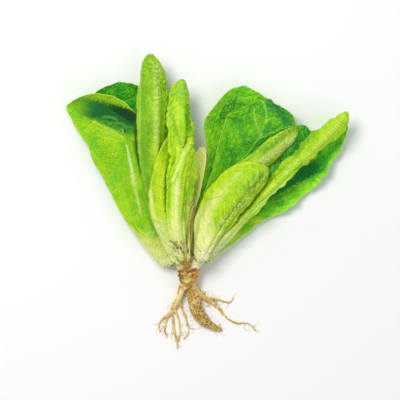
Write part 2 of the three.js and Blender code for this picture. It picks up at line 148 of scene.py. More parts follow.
UPPER_LEAVES = [
    leaf(
        "withered_leaf", False,
        [[-1, 8, 18], [0, 30, 14], [2.5, 58, 9], [7, 84, 8], [12.5, 110, 9]],
        ([2.5, 2.5, 4, 5, 6, 5, 3], 10, 30), ([2.5, 2.5, 4, 6, 6, 5, 3], 10, 30),
        (0.6, 3.0, 0.0), "withered", pucker=0.4, sway=0.3, glow=0.14,
    ),
    leaf(
        "left_inner_leaf", False,
        [[-12, 33, 13], [-20, 62, 14], [-25, 105, 16], [-22, 152, 19]],
        ([5, 9, 12, 13, 12, 9, 5], 12, 46), ([5, 9, 12, 14, 13, 10, 5], 12, 46),
        (1.4, 4.0, 0.7), "deep",
    ),
    leaf(
        "right_inner_leaf", False,
        [[18, 28, 13], [40, 54, 14], [64, 84, 15], [85, 108, 17], [100, 127, 21]],
        ([6, 20, 24, 23, 17, 10, 4.5], 10, 44), ([6, 10, 14, 16, 15, 12, 8], 12, 46),
        (1.6, 4.0, 2.6), "deep", glow=0.08, pucker=0.9,
    ),
    leaf(
        "right_long_leaf", True,
        [[15, 17, 16], [44, 47, 21], [71, 75, 26], [100, 102, 28], [124, 124, 27], [135, 139, 24]],
        ([6, 9, 9, 10, 8, 5, 2], -14, -60), ([5, 5.5, 5, 5, 6.5, 5, 2.5], -14, -56),
        (1.5, 6.0, 0.5), "lively", ruffle=1.0, ripple=11.0, scallop=0.6, pleats=0.5,
    ),
    leaf(
        "right_folded_leaf", True,
        [[13, 26, 20], [24, 55, 27], [44, 82, 32], [65, 102, 33], [82, 115, 31], [92, 125, 28]],
        ([5, 10, 9.5, 9, 8, 5.5, 3], -14, -60), ([5, 8, 9, 7.5, 5.5, 4, 2.5], -14, -60),
        (0.9, 4.0, 1.4), "folded", pleats=0.5,
    ),
    leaf(
        "left_tall_leaf", True,
        [[-12, 27, 19], [-20, 56, 26], [-26, 90, 32], [-26, 128, 35], [-27, 162, 34],
         [-32, 188, 29]],
        ([6, 11, 15.5, 17, 14, 11, 6.5], -16, -58), ([5, 8, 10, 10.5, 9.5, 6.5, 3.5], -14, -58),
        (0.9, 4.0, 0.2), "back", ruffle=0.2, pleats=0.5,
    ),
    leaf(
        "left_heart_leaf", True,
        [[-8, 11, 17], [-17, 40, 24], [-22, 72, 31], [-15, 118, 33]],
        ([5, 9, 11, 10, 8.5, 6, 3.5], -14, -60), ([5, 9, 11, 10, 8, 6, 3], -8, -26),
        (0.8, 4.0, 2.0), "heart", pleats=0.3,
    ),
    leaf(
        "left_small_leaf", True,
        [[-2, 13, 15], [-1.5, 40, 20], [0, 70, 24], [2, 92, 25], [3, 110, 24]],
        ([4, 5, 6, 6, 5, 4, 2], -14, -50), ([2.5, 2, 3.5, 6.5, 5, 3.5, 2], -16, -60),
        (0.8, 4.0, 0.0), "heart", pleats=0.4, glow=0.2,
    ),
    leaf(
        "left_side_leaf", True,
        [[-7, 24, 20], [-11, 55, 28], [-10, 85, 34], [-5, 112, 36], [-3, 137, 33],
         [-4.5, 166.5, 28]],
        ([4, 6, 8.5, 13.5, 15, 13, 9], -12, -50), ([4, 5, 7, 9, 5.5, 4.5, 3], -20, -62),
        (1.4, 5.0, 1.1), "lively", ruffle=1.1, pucker=1.1, sway=1.6, pleats=0.8,
    ),
    leaf(
        "left_front_leaf", True,
        [[-5, 14, 19], [-9.5, 42, 30], [-8.5, 72, 38], [-3, 97, 40], [3, 118, 38]],
        ([4.5, 7.5, 9, 8.5, 4.5, 2.5, 1.5], -8, -34), ([4.5, 6.5, 7.5, 6.5, 5.5, 4, 2.5], -14, -60),
        (0.5, 3.0, 1.6), "heart", pleats=0.7,
    ),
    leaf(
        "right_heart_leaf", True,
        [[9, 12, 19], [24, 41, 29], [43, 67, 39], [66.5, 92.5, 38]],
        ([7.5, 18.5, 23, 23, 21.5, 16, 7.5], -12, -54),
        ([5, 7.5, 10, 10.5, 10, 8.3, 4.6], -14, -60),
        (0.8, 4.0, 0.9), "heart", pleats=0.8,
    ),
]
LEAVES = LOWER_LEAVES + UPPER_LEAVES
print("leaves:", len(LEAVES))

# %% [markdown]
# ## Bands of colour and relief
# No leaf is one green. Light and dark stripes run along a romaine blade: a pale streak on the
# rib, yellow where the blade is thin, brown scars where it was torn from the stem. Some bands are
# painted light and shade: painted shade in a hollow under a curled tip, in a slit where one leaf
# slips under another and on a side that turns away from the light, and painted highlights on
# curled lobes and wet blisters. They could be painted on an image of each leaf. Here each is a
# band between two places over the table, so it can be moved by two numbers and is sharp at any
# size. A soft band fades over its whole width, a patterned one is broken up by specks of painted
# highlight, flecks, crinkles or ribs, and some bow, or lift or sink the blade under them.

# %% The bands
# Each row: x and y of the start, x and y of the end, the half width at either end, the tint, how
# much of it shows, and then its texture, its bow and its rise, all lengths in mm.
# The specks texture paints highlights: the glints of wet blisters.
SCARRED_BASE = [
    (-15.5, 34, -7, 22, 3.4, 3.4, "c8b468", 0.45, "flecks"),
    (-15.5, 20.5, -6, 12, 3, 3, "bce444", 0.6, "soft"),
    (-15.5, 30.5, -10.5, 27, 1.1, 1.1, "7a5418", 0.8),
    (-10.5, 27, -8.5, 23, 1.1, 1.1, "5a3810", 0.8),
    (-11, 21, -7, 25.5, 0.9, 0.9, "5a3810", 0.7),
    (-7, 25.5, -3, 18.5, 1.2, 1.2, "7a4c12", 0.8),
]
BANDS = dict(
    left_outer_leaf=[
        (-100.5, 146, -90, 129, 5.1, 6, "7ccc14", 0.55, "soft"),
        (-88.5, 129, -54.5, 115.5, 5.1, 5.1, "b0e00c", 0.55, "soft"),
        (-83.5, 115.5, -61, 88.5, 4.2, 6, "5cbc1e", 0.5, "crinkle", 0, 0.3),
        (-58, 77.5, -47.5, 43.5, 5.1, 5.1, "b4e010", 0.5, "soft"),
        # Painted shade: the dark hollow where the blade curls up behind its tip, darkest beside the
        # tall leaf. These bands also sink the blade.
        (-88.5, 143, -40, 127.5, 10.6, 11.9, "0a6e28", 0.97, "plain", -1.7, -0.7),
        (-64.5, 143, -41, 131, 3.4, 7.6, "003a14", 0.9, "plain", -0.8),
        (-85, 146, -75, 139.5, 3.4, 5.1, "0c7c40", 0.6, "soft"),
        (-76.5, 133.5, -47.5, 121.5, 2.5, 5.5, "3f9c2e", 0.9, "crinkle", 0, 0.9),
        # Painted highlights on the rims of the curled lobes in the hollow.
        (-73, 134.5, -59.5, 132, 1.9, 1.9, "6cc044", 0.6, "soft", -1.3, 0.8),
        (-68, 128.5, -52.5, 127.5, 1.9, 1.9, "62b83c", 0.6, "soft", -1.7, 0.8),
        (-58.5, 123, -47, 126, 1.7, 1.7, "58b038", 0.6, "soft", -1.3, 0.7),
        (-81.5, 132, -54.5, 117.5, 1.4, 1.4, "d2f25c", 0.5, "soft", 0, 0.4),
        (-78, 126, -53.5, 115.5, 1.2, 1.2, "caee50", 0.45, "soft", 0, 0.3),
        (-76.5, 119, -53.5, 114, 1.2, 1.2, "c0ea44", 0.4, "soft", 0, 0.3),
        (-55.5, 125, -55, 121.5, 0.7, 0.7, "d8e8a8", 0.6),
        (-54, 124.5, -53.5, 122, 0.8, 0.8, "2a2408", 0.9),
        # Painted shade on the half of the blade that lies beside the heads.
        (-47, 115.5, -39, 83.5, 2.1, 2.5, "56a826", 0.65, "soft"),
        (-41, 73, -27, 35, 2.5, 3, "62b024", 0.55, "soft"),
        (-52.5, 112, -46, 78, 1.2, 2.5, "f0f6b0", 0.75, "soft", -0.4, 0.5),
        (-46, 80, -40, 52.5, 2.2, 1.7, "e0f08c", 0.55, "soft", 0, 0.3),
        # Painted shadow in the slit where the blade slips under the tall leaf.
        (-44.5, 126, -43.5, 105.5, 2.5, 2.9, "0a4c14", 0.9, "soft"),
        (-43.5, 105.5, -33.5, 64.5, 2.9, 2.5, "0e5416", 0.9, "soft"),
        (-33.5, 64.5, -28, 46, 2, 2, "2a7c1c", 0.6, "soft"),
        (-71.5, 81.5, -59.5, 64.5, 3.4, 3.4, "66c020", 0.4, "crinkle", 0, 0.3),
        (-46, 41, -30.5, 30.5, 3.4, 3.4, "c4e828", 0.7, "soft"),
        (-39, 34, -13.5, 15.5, 6, 7.6, "d6e868", 0.8, "soft"),
        (-32.5, 35.5, -20.5, 26.5, 2, 2, "d8e068", 0.5, "crinkle"),
        (-32.5, 28, -13.5, 18.5, 3.4, 3.4, "a08058", 0.45, "flecks"),
        (-48.5, 45, -41.5, 36.5, 0.9, 0.9, "9a7a20", 0.5),
    ],
    right_back_leaf=[
        (17, 134.5, 44, 160, 6, 6.8, "96e034", 0.5, "soft"),
        (27, 131, 39, 151.5, 3.4, 4.2, "1c9038", 0.6, "crinkle", 0, 0.3),
        (37.5, 141, 42.5, 158, 2.5, 2.5, "108034", 0.5, "soft"),
    ],
    right_outer_leaf=[
        (37.5, 32.5, 95, 58, 3.4, 3.8, "c8f050", 0.5, "crinkle", 0, 0.3),
        # Painted shadow along the side that lies under the next leaf. This band also sinks the
        # blade.
        (63, 66.5, 114, 95, 6.8, 8.5, "087a38", 0.85, "plain", -1.7, -0.5),
        (41, 46, 80, 68, 3.4, 4.2, "1c8c2c", 0.6, "soft"),
        (112, 93.5, 131, 115.5, 5.1, 3.4, "18a040", 0.65, "soft"),
        (63, 59.5, 95, 73, 2.5, 2.5, "4cbc3c", 0.5, "soft", 0, 0.7),
        (85, 51, 119, 75, 4.7, 4.2, "90e02c", 0.8, "soft", 0, 0.2),
        (117.5, 73, 134.5, 109, 2.9, 2.5, "66cc34", 0.75, "soft"),
        (44, 35.5, 85, 52.5, 3.8, 4.8, "b0ec2c", 0.85, "soft", 0, 0.3),
        (52.5, 46, 64.5, 48.5, 3.4, 3.8, "d0f43c", 0.85, "plain", 0, 0.5),
        (29, 30.5, 47, 34, 3.9, 4.6, "dcf854", 0.9, "plain", 0, 0.5),
    ],
    right_broad_leaf=[
        (15.5, 71.5, 24, 105.5, 5.1, 6, "8adc28", 0.6, "soft"),
        (34, 85, 41, 107, 3.4, 4.2, "2c9c30", 0.5, "soft"),
        (66.5, 154.5, 88.5, 127.5, 6.8, 8.5, "0c8838", 0.7, "soft"),
        (68, 151.5, 86.5, 129, 5.1, 6.8, "087430", 0.5, "crinkle", 0, 0.4),
        (56, 143, 63, 119, 1.3, 1.3, "a8e870", 0.55, "soft", 1.7, 0.4),
        (63, 149.5, 66.5, 129, 1.3, 1.3, "a8e870", 0.5, "soft", -1.7, 0.4),
        (35.5, 144.5, 63, 151.5, 1.3, 1.3, "b8f070", 0.45, "soft", -1.7),
        (44, 132.5, 49.5, 107, 3.4, 4.2, "149038", 0.4, "soft"),
        (58, 107, 52.5, 88.5, 2.5, 2.5, "149038", 0.4, "soft"),
    ],
    withered_leaf=[
        (13, 110.5, 7, 85, 7.6, 6.8, "f2f88c", 0.97, "plain", 0, 0.3),
        (13, 110.5, 7, 85, 4.2, 4.2, "dce078", 0.5, "crinkle", 0, 0.3),
        (7, 85, 1.5, 59.5, 5.1, 5.1, "a8cc3c", 0.9, "crinkle", 0, 0.3),
        (3.5, 59.5, 0, 37.5, 3.4, 3.4, "dcc878", 0.85),
        (0, 39, -1.5, 7, 3.4, 3.4, "d8a040", 0.85),
    ],
    right_inner_leaf=[
        (98.5, 127.5, 103, 115.5, 4.2, 4.2, "0e8a34", 0.8, "crinkle", 0, 0.8),
        (88.5, 114, 97, 105.5, 4.2, 4.2, "068038", 0.8, "crinkle", 0, 0.8),
        (68, 88.5, 86.5, 102, 5.1, 5.1, "068036", 0.85, "crinkle", 0, 0.8),
        (47, 102, 70.5, 121.5, 3.4, 3.4, "36a82e", 0.7, "crinkle", 0, 0.7),
        (64.5, 83.5, 81.5, 92, 2.5, 2.5, "14a048", 0.5, "soft"),
    ],
    right_long_leaf=[
        (88.5, 85, 30.5, 32.5, 2.5, 3.4, "e4f47c", 0.55, "soft"),
        (109, 126, 88.5, 98.5, 4.7, 4.2, "7cba18", 0.65, "soft", 0, 0.2),
        (109, 126, 90, 102, 3.4, 3, "5c9c14", 0.45, "crinkle", 0, 0.5),
        (132.5, 136, 98.5, 95, 6, 4.2, "d6ee4c", 0.75, "soft", 0, 0.2),
        (131, 134.5, 102, 98.5, 4.2, 2.9, "8cbc20", 0.4, "ribs"),
        (92, 97, 63, 69.5, 4.2, 3.4, "cdea34", 0.5, "soft"),
        # Painted highlights: glints on wet blisters.
        (92, 98.5, 81.5, 86.5, 2.5, 2.5, "f2fabc", 0.5, "glint_specks", 0, 0.3),
        (63, 69.5, 35.5, 39, 4.2, 3.4, "a4d824", 0.5, "soft"),
        (47.5, 59.5, 30.5, 41, 2.5, 2.5, "7cb820", 0.45, "crinkle", 0, 0.4),
    ],
    right_folded_leaf=[
        (93.5, 129, 63, 103.5, 4.7, 3.8, "78b020", 0.6, "soft"),
        (93.5, 129, 63, 103.5, 3.4, 3, "5c9818", 0.45, "crinkle", 0, 0.5),
        (92, 119, 54.5, 90, 4.7, 4.2, "d4e86c", 0.7, "soft", 0, 0.3),
        # Painted highlights: glints on wet blisters.
        (92, 119, 56, 91, 3.4, 3.4, "f6fac8", 0.5, "glint_specks", 0, 0.4),
        (58, 92, 34, 69.5, 3.4, 2.5, "cfe46c", 0.5, "soft"),
        (98.5, 126.5, 92, 120.5, 3, 3, "a0c040", 0.5, "soft"),
    ],
    left_tall_leaf=[
        (-36.5, 182, -32.5, 158, 3.4, 3.4, "8cc41c", 0.5, "crinkle", 0, 0.4),
        # Painted shade: the left half of the blade curves away from the light.
        (-37.5, 158, -36.5, 52, 6, 6.8, "66ae14", 0.6, "soft"),
        (-26.5, 182, -27, 107, 5.1, 4.2, "b8e040", 0.5, "soft", -0.8, 0.2),
        (-32.5, 182, -21, 156.5, 5.1, 5.1, "7cb818", 0.4, "crinkle", 0, 0.5),
        (-21, 166.5, -18.5, 129, 3, 3, "8cc818", 0.5, "crinkle", 0, 0.6),
        # Painted highlights: glints on wet blisters along the rib.
        (-26.5, 180, -27, 114, 3.9, 2.7, "f2fcc8", 0.42, "glint_specks", 0, 0.5),
        (-33, 183.5, -24, 173.5, 3, 3, "dcf490", 0.4, "glint_specks", 0, 0.3),
        (-27, 115.5, -24, 60.5, 2.5, 2.5, "c0e048", 0.45, "soft"),
        (-40.5, 166.5, -41, 81.5, 1, 1, "b8e058", 0.5),
    ],
    left_heart_leaf=[
        (-24, 98.5, -21, 43.5, 6, 6, "c8e81c", 0.5, "soft"),
        (-29, 92, -30, 68, 2.9, 2.9, "a0d424", 0.5, "soft"),
        (-25.5, 76.5, -24, 51, 2.5, 3.4, "cfe410", 0.6, "soft"),
        (-31.5, 73, -25.5, 37.5, 2.2, 3.7, "ecf496", 0.75, "soft", 1, 0.3),
        (-24, 46, -17, 20.5, 7.6, 7.6, "e6ec98", 0.75, "soft"),
        (-18.5, 88.5, -19, 54.5, 1.4, 1.4, "78b814", 0.6, "soft", 0, -0.4),
        (-6, 103.5, -18, 78, 2.2, 2, "e0f088", 0.45, "soft", -0.8, 0.4),
        *SCARRED_BASE,
    ],
    left_small_leaf=[
        (7.5, 107, 3.5, 83.5, 4.2, 3.4, "d4f04c", 0.8, "soft", 0, 0.3),
        (7.5, 105.5, 3.5, 83.5, 2.5, 2.5, "a0cc38", 0.5, "crinkle", 0, 0.4),
        (3.5, 83.5, 1.5, 61, 4.2, 4.2, "b8e838", 0.8, "soft", 0, 0.3),
        (3.5, 81.5, 1.5, 63, 2.5, 2.5, "7cb42c", 0.5, "crinkle", 0, 0.4),
        (2.5, 85, 7.5, 78, 2, 2, "4a3c0c", 0.85, "flecks"),
        (0, 79, 1.5, 75.5, 1.2, 1.2, "8a7a20", 0.7, "flecks"),
        (0, 61, -4, 46, 1.7, 1.7, "f4f8cc", 0.5, "soft"),
    ],
    left_side_leaf=[
        (-3.5, 164, -7, 151.5, 7.6, 6, "aad458", 0.5, "soft"),
        (-3.5, 164, -7.5, 146, 5.1, 4.2, "86ba30", 0.4, "crinkle", 0, 0.4),
        (-10, 149.5, -8.5, 107, 3.4, 3.4, "c4e840", 0.5, "soft", 0, 0.3),
        (-15.5, 143, -17, 126, 3, 3, "d6e46c", 0.5, "crinkle", 0, 0.3),
        (-1.5, 146, 1, 122.5, 3.4, 2.5, "4ea41e", 0.8, "crinkle", 0, -0.5),
        (-12, 134.5, -8.5, 111.5, 1.9, 1.9, "6cb41a", 0.5, "soft", 0, -0.4),
        (-10, 119, -15.5, 73, 6, 5.1, "c4e820", 0.55, "soft"),
        # Painted highlights: glints on wet blisters.
        (-1.5, 115.5, -6, 94.5, 3.4, 3.4, "e4f884", 0.4, "glint_specks", 0, 0.3),
        (1.5, 126, 4, 107, 2.1, 2.1, "a8dc38", 0.5, "soft"),
        (-10, 126, -6, 110.5, 1.5, 1.5, "5ca41a", 0.5, "soft", 0, -0.4),
    ],
    left_front_leaf=[
        (-1.5, 107, -10, 80, 5.1, 5.1, "a4d834", 0.45, "soft"),
        (-15.5, 85, -16, 58, 2, 2, "8cc81c", 0.6, "soft", 0, -0.4),
        (-2.5, 107, -13.5, 80, 2.2, 1.9, "e6f49c", 0.65, "soft", -0.8, 0.4),
        (-1.5, 98.5, -8.5, 71.5, 2, 2, "9cd224", 0.45, "soft", 0, -0.3),
        (-8.5, 80, -12, 34, 4.7, 6, "ecf69c", 0.75, "soft", 0, 0.5),
        (-1.5, 75, -3.5, 46, 2.2, 2.2, "98ce28", 0.6, "soft", 0, -0.3),
        (3.5, 114, -3.5, 102, 2, 2, "d8ec7c", 0.5, "soft", 0, 0.4),
        (-10, 44, -9.5, 20.5, 6.8, 6.8, "e6ec98", 0.75, "soft"),
        *SCARRED_BASE,
    ],
    right_heart_leaf=[
        (29, 52.5, 44, 78, 6.8, 6, "a8da08", 0.6, "soft"),
        (42.5, 68, 64.5, 88.5, 9.3, 8.5, "78bc20", 0.65, "soft"),
        (15.5, 18.5, 14.5, 54.5, 8.5, 8.5, "f0f6a4", 0.85, "soft", 0, 0.3),
        (14.5, 51, 29, 73, 8.5, 6, "e8f28c", 0.75, "soft", -0.8, 0.3),
        (29, 73, 46, 90, 5.1, 3.4, "cfe870", 0.5, "soft"),
        (49.5, 71.5, 64.5, 88.5, 6.8, 6.8, "4c981c", 0.7, "crinkle", 0, 0.6),
        (56, 73, 66.5, 88.5, 1.7, 1.7, "d0ec70", 0.5, "soft", 1.3, 0.4),
        (52.5, 76.5, 59.5, 90, 1.4, 1.4, "c4e860", 0.5, "soft", 1.3, 0.4),
        (21, 42.5, 46, 64.5, 5.5, 6, "6cac14", 0.55, "crinkle", 0, 0.4),
        # Painted highlights: glints on wet blisters.
        (24, 39, 52.5, 68, 3.8, 3.1, "eef8b0", 0.55, "glint_specks", 0, 0.4),
        (29, 37.5, 59.5, 68, 2, 2, "74b424", 0.5, "soft"),
        (15.5, 64.5, 29, 68.5, 0.6, 0.6, "a8a050", 0.5),
        (12, 22, 13.5, 12, 3.4, 3.4, "f8f4e8", 0.7, "soft"),
        (20.5, 30.5, 30.5, 39, 3, 3, "e6f088", 0.5, "soft"),
    ],
)


def band(x0, y0, x1, y1, wide, wide_end, tint, share, texture="plain", bow=0, rise=0):
    """A row of the table with its values by name."""
    return dict(
        start=(x0, y0), end=(x1, y1), half_widths=(wide, wide_end), tint=tint, share=share,
        texture=texture, bow=bow, rise=rise,
    )


for plan in LEAVES:
    plan["marks"] = [band(*row) for row in BANDS.get(plan["name"], [])]
print("bands:", sum(len(plan["marks"]) for plan in LEAVES))

# %% [markdown]
# ## From the table to a sheet of points
# A leaf could be sculpted by hand, but sixteen of them packed on each other would then cut
# through one another. Here each leaf is a formula over two numbers: how far along the rib, and
# how far across from the rib to the edge. The formula can be read at any fineness, so the same
# leaf can be coarse for the packing and fine for the render.

# %% Curves and widths
def spline(points, t):
    """A Catmull-Rom curve through the points, read at the fractions t."""
    points = np.asarray(points, float)
    points = points.reshape(len(points), -1)
    pieces = len(points) - 1
    first = 2 * points[:1] - points[1:2]
    last = 2 * points[-1:] - points[-2:-1]
    padded = np.vstack([first, points, last])
    place = np.clip(t, 0, 1) * pieces
    k = np.minimum(place.astype(int), pieces - 1)
    f = (place - k)[:, None]
    a, b, c, d = (padded[k + n] for n in range(4))
    slope_b, slope_c = (c - a) / 2, (d - b) / 2
    cubic = 2 * b - 2 * c + slope_b + slope_c
    square = 3 * c - 3 * b - 2 * slope_b - slope_c
    return ((cubic * f + square) * f + slope_b) * f + b


def smooth(x):
    x = np.clip(x, 0, 1)
    return x * x * (3 - 2 * x)


def unit(v):
    return v / np.maximum(np.linalg.norm(v, axis=-1, keepdims=True), 1e-9)


def fraction(rows):
    """Where along a leaf its rows stand: they crowd towards the tip."""
    return 1 - (1 - np.linspace(0, 1, rows + 1)) ** TIP_CROWDING


def reach(side, t):
    """How far across a side reaches from the rib, closing to nothing at the tip."""
    stations = 1 - np.sqrt(np.maximum(0, 1 - t))
    return np.maximum(0, spline(list(side[0]) + [0], stations)[:, 0])


def bend(start, end, s):
    """How far across and how far up a blade gets when its slope turns evenly."""
    turn = np.where(np.abs(end - start) < 1e-3, 1e-3, end - start)
    angle = start + turn * s
    return (np.sin(angle) - np.sin(start)) / turn, (np.cos(start) - np.cos(angle)) / turn


def by_side(s, left, right):
    """The left values where s is below 0 and the right ones elsewhere."""
    return np.where(s[None, :] < 0, np.asarray(left)[:, None], np.asarray(right)[:, None])


def sheet(plan, t, s):
    """Points of a leaf's inner face, with how far each is across and along the blade, in mm."""
    step = 1e-4
    spot = spline(plan["spine"], t)
    along = unit(spline(plan["spine"], t + step) - spline(plan["spine"], t - step))
    across = unit(np.stack([along[:, 1], -along[:, 0], np.zeros(len(t))], 1))
    up = np.cross(across, along)
    turn = np.radians(plan["roll"][0] + (plan["roll"][1] - plan["roll"][0]) * t)[:, None]
    across, up = (
        across * np.cos(turn) + np.cross(along, across) * np.sin(turn),
        up * np.cos(turn) + np.cross(along, up) * np.sin(turn),
    )
    size = np.abs(s)[None, :]
    clasp = -CLASP_SLOPE if plan["back_up"] else CLASP_SLOPE
    opened = smooth(t / BASE_SHARE)[:, None]
    slopes = [by_side(s, [plan["left"][n]], [plan["right"][n]]) for n in (1, 2)]
    start = np.radians(clasp / 3 + (slopes[0] - clasp / 3) * opened)
    end = np.radians(clasp + (slopes[1] - clasp) * opened)
    run, rise = bend(start, end, size)
    span = by_side(s, reach(plan["left"], t), reach(plan["right"], t))
    width = span / bend(start, end, 1)[0]
    height, count, phase = plan["wave"]
    beat = 2 * math.pi * count * t[:, None] + phase + np.where(s < 0, 0, 2)[None, :]
    swell = height * size**2 * np.sin(math.pi * np.clip(t, 0, 1))[:, None]
    tongue = TONGUE * np.maximum(0, 1 - t / TONGUE_SHARE)[:, None] ** 2 * span * size**2
    outwards = np.sign(s)[None, :] * (width * run + 0.5 * swell * np.sin(beat + 1))
    upwards = width * rise + swell * np.sin(beat)
    points = (
        spot[:, None]
        + across[:, None] * outwards[..., None]
        + up[:, None] * upwards[..., None]
        + along[:, None] * tongue[..., None]
    )
    walked = np.concatenate([[0], np.cumsum(np.linalg.norm(np.diff(spot, axis=0), axis=1))])
    return points, width * s[None, :], walked[:, None] + tongue


def thickness(plan, t, s):
    """The thickness of a blade in mm, most at the base of the rib."""
    span = by_side(s, reach(plan["left"], t), reach(plan["right"], t)) * np.abs(s)[None, :]
    return BLADE + RIB_DEPTH * (1 - t[:, None]) ** 1.3 * np.exp(-((span / RIB_WIDTH) ** 2))


def normals(points):
    """Upward normals of a grid of points."""
    ahead = np.concatenate([points[1:], points[-1:]]) - np.concatenate([points[:1], points[:-1]])
    near = points.copy()
    near[-1] = points[-2]  # at the tip all points meet, so the row before it is used
    after = np.concatenate([near[:, 1:], near[:, -1:]], 1)
    before = np.concatenate([near[:, :1], near[:, :-1]], 1)
    return unit(np.cross(after - before, ahead))


def two_faces(plan, points, depth):
    """The upper and the lower face: the back stands off the inner face by the depth."""
    away = 1 if plan["back_up"] else -1
    back = points + normals(points) * (away * depth)[..., None]
    return (back, points) if plan["back_up"] else (points, back)


# %% [markdown]
# ## Letting the leaves settle
# Real leaves lie on each other and push each other up. A height map plays the table here. Each
# leaf, from the lowest to the highest, is lifted wherever it would sink into what is already
# there, and a lifted spot carries its neighbours with it, as a springy blade would. This is
# quick and always gives the same result, where a cloth simulation would not.

# %% The height map and the lift
PASSES = 8  # times that a leaf is lifted and tried again
SMOOTHING = 40  # rounds in which one lift spreads through a leaf
STIFFNESS = 0.96  # how far a lifted spot carries its neighbours with it
ENOUGH = 0.02  # mm by which a leaf may still sink in
GROUND_HALF = 220  # mm that the height map reaches each way


class Ground:
    """The height of what has been laid down so far, on square cells."""

    def __init__(self, pitch, clearance):
        self.pitch, self.clearance = pitch, clearance
        count = int(2 * GROUND_HALF / pitch) + 1
        self.height = np.full((count, count), -clearance, float)

    def cell(self, points):
        places = (points[..., :2] + GROUND_HALF) / self.pitch
        return tuple(np.rint(places[..., n]).astype(int) for n in (0, 1))

    def pile(self, points):
        np.maximum.at(self.height, self.cell(points), points[..., 2])

    def pile_grid(self, grid):
        """Lays down the surface between the points of a grid, not only the points."""
        a, b, c, d = grid[:-1, :-1], grid[:-1, 1:], grid[1:, :-1], grid[1:, 1:]
        longest = max(np.linalg.norm(p - q, axis=-1).max() for p, q in ((a, b), (a, c), (b, d)))
        steps = int(math.ceil(1.6 * longest / self.pitch))
        for u in np.linspace(0, 1, steps + 1):
            for v in np.linspace(0, 1, steps + 1):
                self.pile((a * (1 - u) + c * u) * (1 - v) + (b * (1 - u) + d * u) * v)

    def widened(self):
        """The height map with each cell as high as its highest neighbour."""
        h = self.height
        for way in (0, 1):
            h = np.maximum(h, np.maximum(np.roll(h, 1, way), np.roll(h, -1, way)))
        return h


def shortfall(bottom, ground, heights):
    """How far each point of a leaf's lower face has to rise to lie clear."""
    def short(points):
        return heights[ground.cell(points)] + ground.clearance - points[..., 2]

    need = short(bottom)
    a, b, c, d = bottom[:-1, :-1], bottom[:-1, 1:], bottom[1:, :-1], bottom[1:, 1:]
    rows, columns = need.shape
    halves = (((a, b, c), ((0, 0), (0, 1), (1, 0))), ((b, c, d), ((0, 1), (1, 0), (1, 1))))
    for corners, spots in halves:
        middle = short(sum(corners) / 3)
        for i, j in spots:
            part = need[i : rows - 1 + i, j : columns - 1 + j]
            np.maximum(part, middle, out=part)
    return need


def settle(plan, points, depth, ground):
    """Lifts a leaf clear of the ground, and returns the lift of each of its points."""
    heights = ground.widened()
    total = np.zeros(points.shape[:2])
    points = points.copy()
    for _ in range(PASSES):
        need = shortfall(two_faces(plan, points, depth)[1], ground, heights)
        lift = np.maximum(0, need)
        if lift.max() < ENOUGH:
            break
        for _ in range(SMOOTHING):
            edged = np.pad(lift, 1, mode="edge")
            mean = (edged[:-2, 1:-1] + edged[2:, 1:-1] + edged[1:-1, :-2] + edged[1:-1, 2:]) / 4
            lift = np.maximum(np.maximum(0, need), STIFFNESS * mean)
            lift[-1] = lift[-1].max()  # the tip is one point
        points[..., 2] += lift
        total += lift
    return total


coarse_ground = Ground(pitch=1.0, clearance=0.9)  # mm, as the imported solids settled
fine_ground = Ground(pitch=0.5, clearance=0.3)
print("height maps:", coarse_ground.height.shape, fine_ground.height.shape)

# %% [markdown]
# ## Veins, blisters and ruffles
# Close up, a romaine blade is never smooth. Side veins leave the rib and bend towards the tip,
# the tissue between them puffs up in blisters, the whole blade sways a little and its edge is
# ruffled. Each of these is a height over the blade, in millimetres, so they simply add up. Two
# kinds of seeded noise make them irregular: a soft one, and one with round cells.

# %% Noise and relief
PERIOD = 64  # units after which the noise repeats
VEIN_GAP = 9.5  # mm between side veins
VEIN_WIDTH = 0.8
BLISTER_WIDTH, BLISTER_LENGTH = 5.0, 6.5
FOLD_WIDTH, FOLD_LENGTH = 2.9, 4.6  # of the crinkles in a band
PLEATS = 12  # about how many radians of pleats from the rib to the edge


def soft_noise(x, y, seed):
    """Smooth noise from -1 to 1, with bumps about one unit wide."""
    table = np.random.default_rng(seed).uniform(-1, 1, (PERIOD, PERIOD))
    i, j = np.floor(x).astype(int), np.floor(y).astype(int)
    u, v = smooth(x - i), smooth(y - j)

    def corner(a, b):
        return table[(i + a) % PERIOD, (j + b) % PERIOD]

    low = corner(0, 0) * (1 - u) + corner(1, 0) * u
    high = corner(0, 1) * (1 - u) + corner(1, 1) * u
    return low * (1 - v) + high * v


def round_cells(x, y, seed):
    """0 on the creases between irregular cells, rising towards their middles."""
    table = np.random.default_rng(seed).uniform(0.1, 0.9, (PERIOD, PERIOD, 2))
    i, j = np.floor(x).astype(int), np.floor(y).astype(int)
    nearest = np.full(x.shape, 9.0)
    second = np.full(x.shape, 9.0)
    for a in (-1, 0, 1):
        for b in (-1, 0, 1):
            middle = table[(i + a) % PERIOD, (j + b) % PERIOD]
            away = np.hypot(i + a + middle[..., 0] - x, j + b + middle[..., 1] - y)
            second = np.minimum(second, np.maximum(nearest, away))
            nearest = np.minimum(nearest, away)
    return second - nearest


def band_place(mark, x, y):
    """How far along a band a place is, from 0 to 1, and how far off it, 1 at its border."""
    (x0, y0), (x1, y1) = mark["start"], mark["end"]
    dx, dy = x1 - x0, y1 - y0
    length = math.hypot(dx, dy)
    passed = (x - x0) * (dx / length**2) + (y - y0) * (dy / length**2)
    beside = (x - x0) * (dy / length) - (y - y0) * (dx / length)
    beside = beside - passed * (1 - passed) * (4 * mark["bow"])
    wide, wide_end = mark["half_widths"]
    return passed, abs(beside) / (passed * (wide_end - wide) + wide)


def band_end(mark):
    """The soft end of a band, as a share of its length."""
    return min(0.3, max(mark["half_widths"]) / math.dist(mark["start"], mark["end"]))


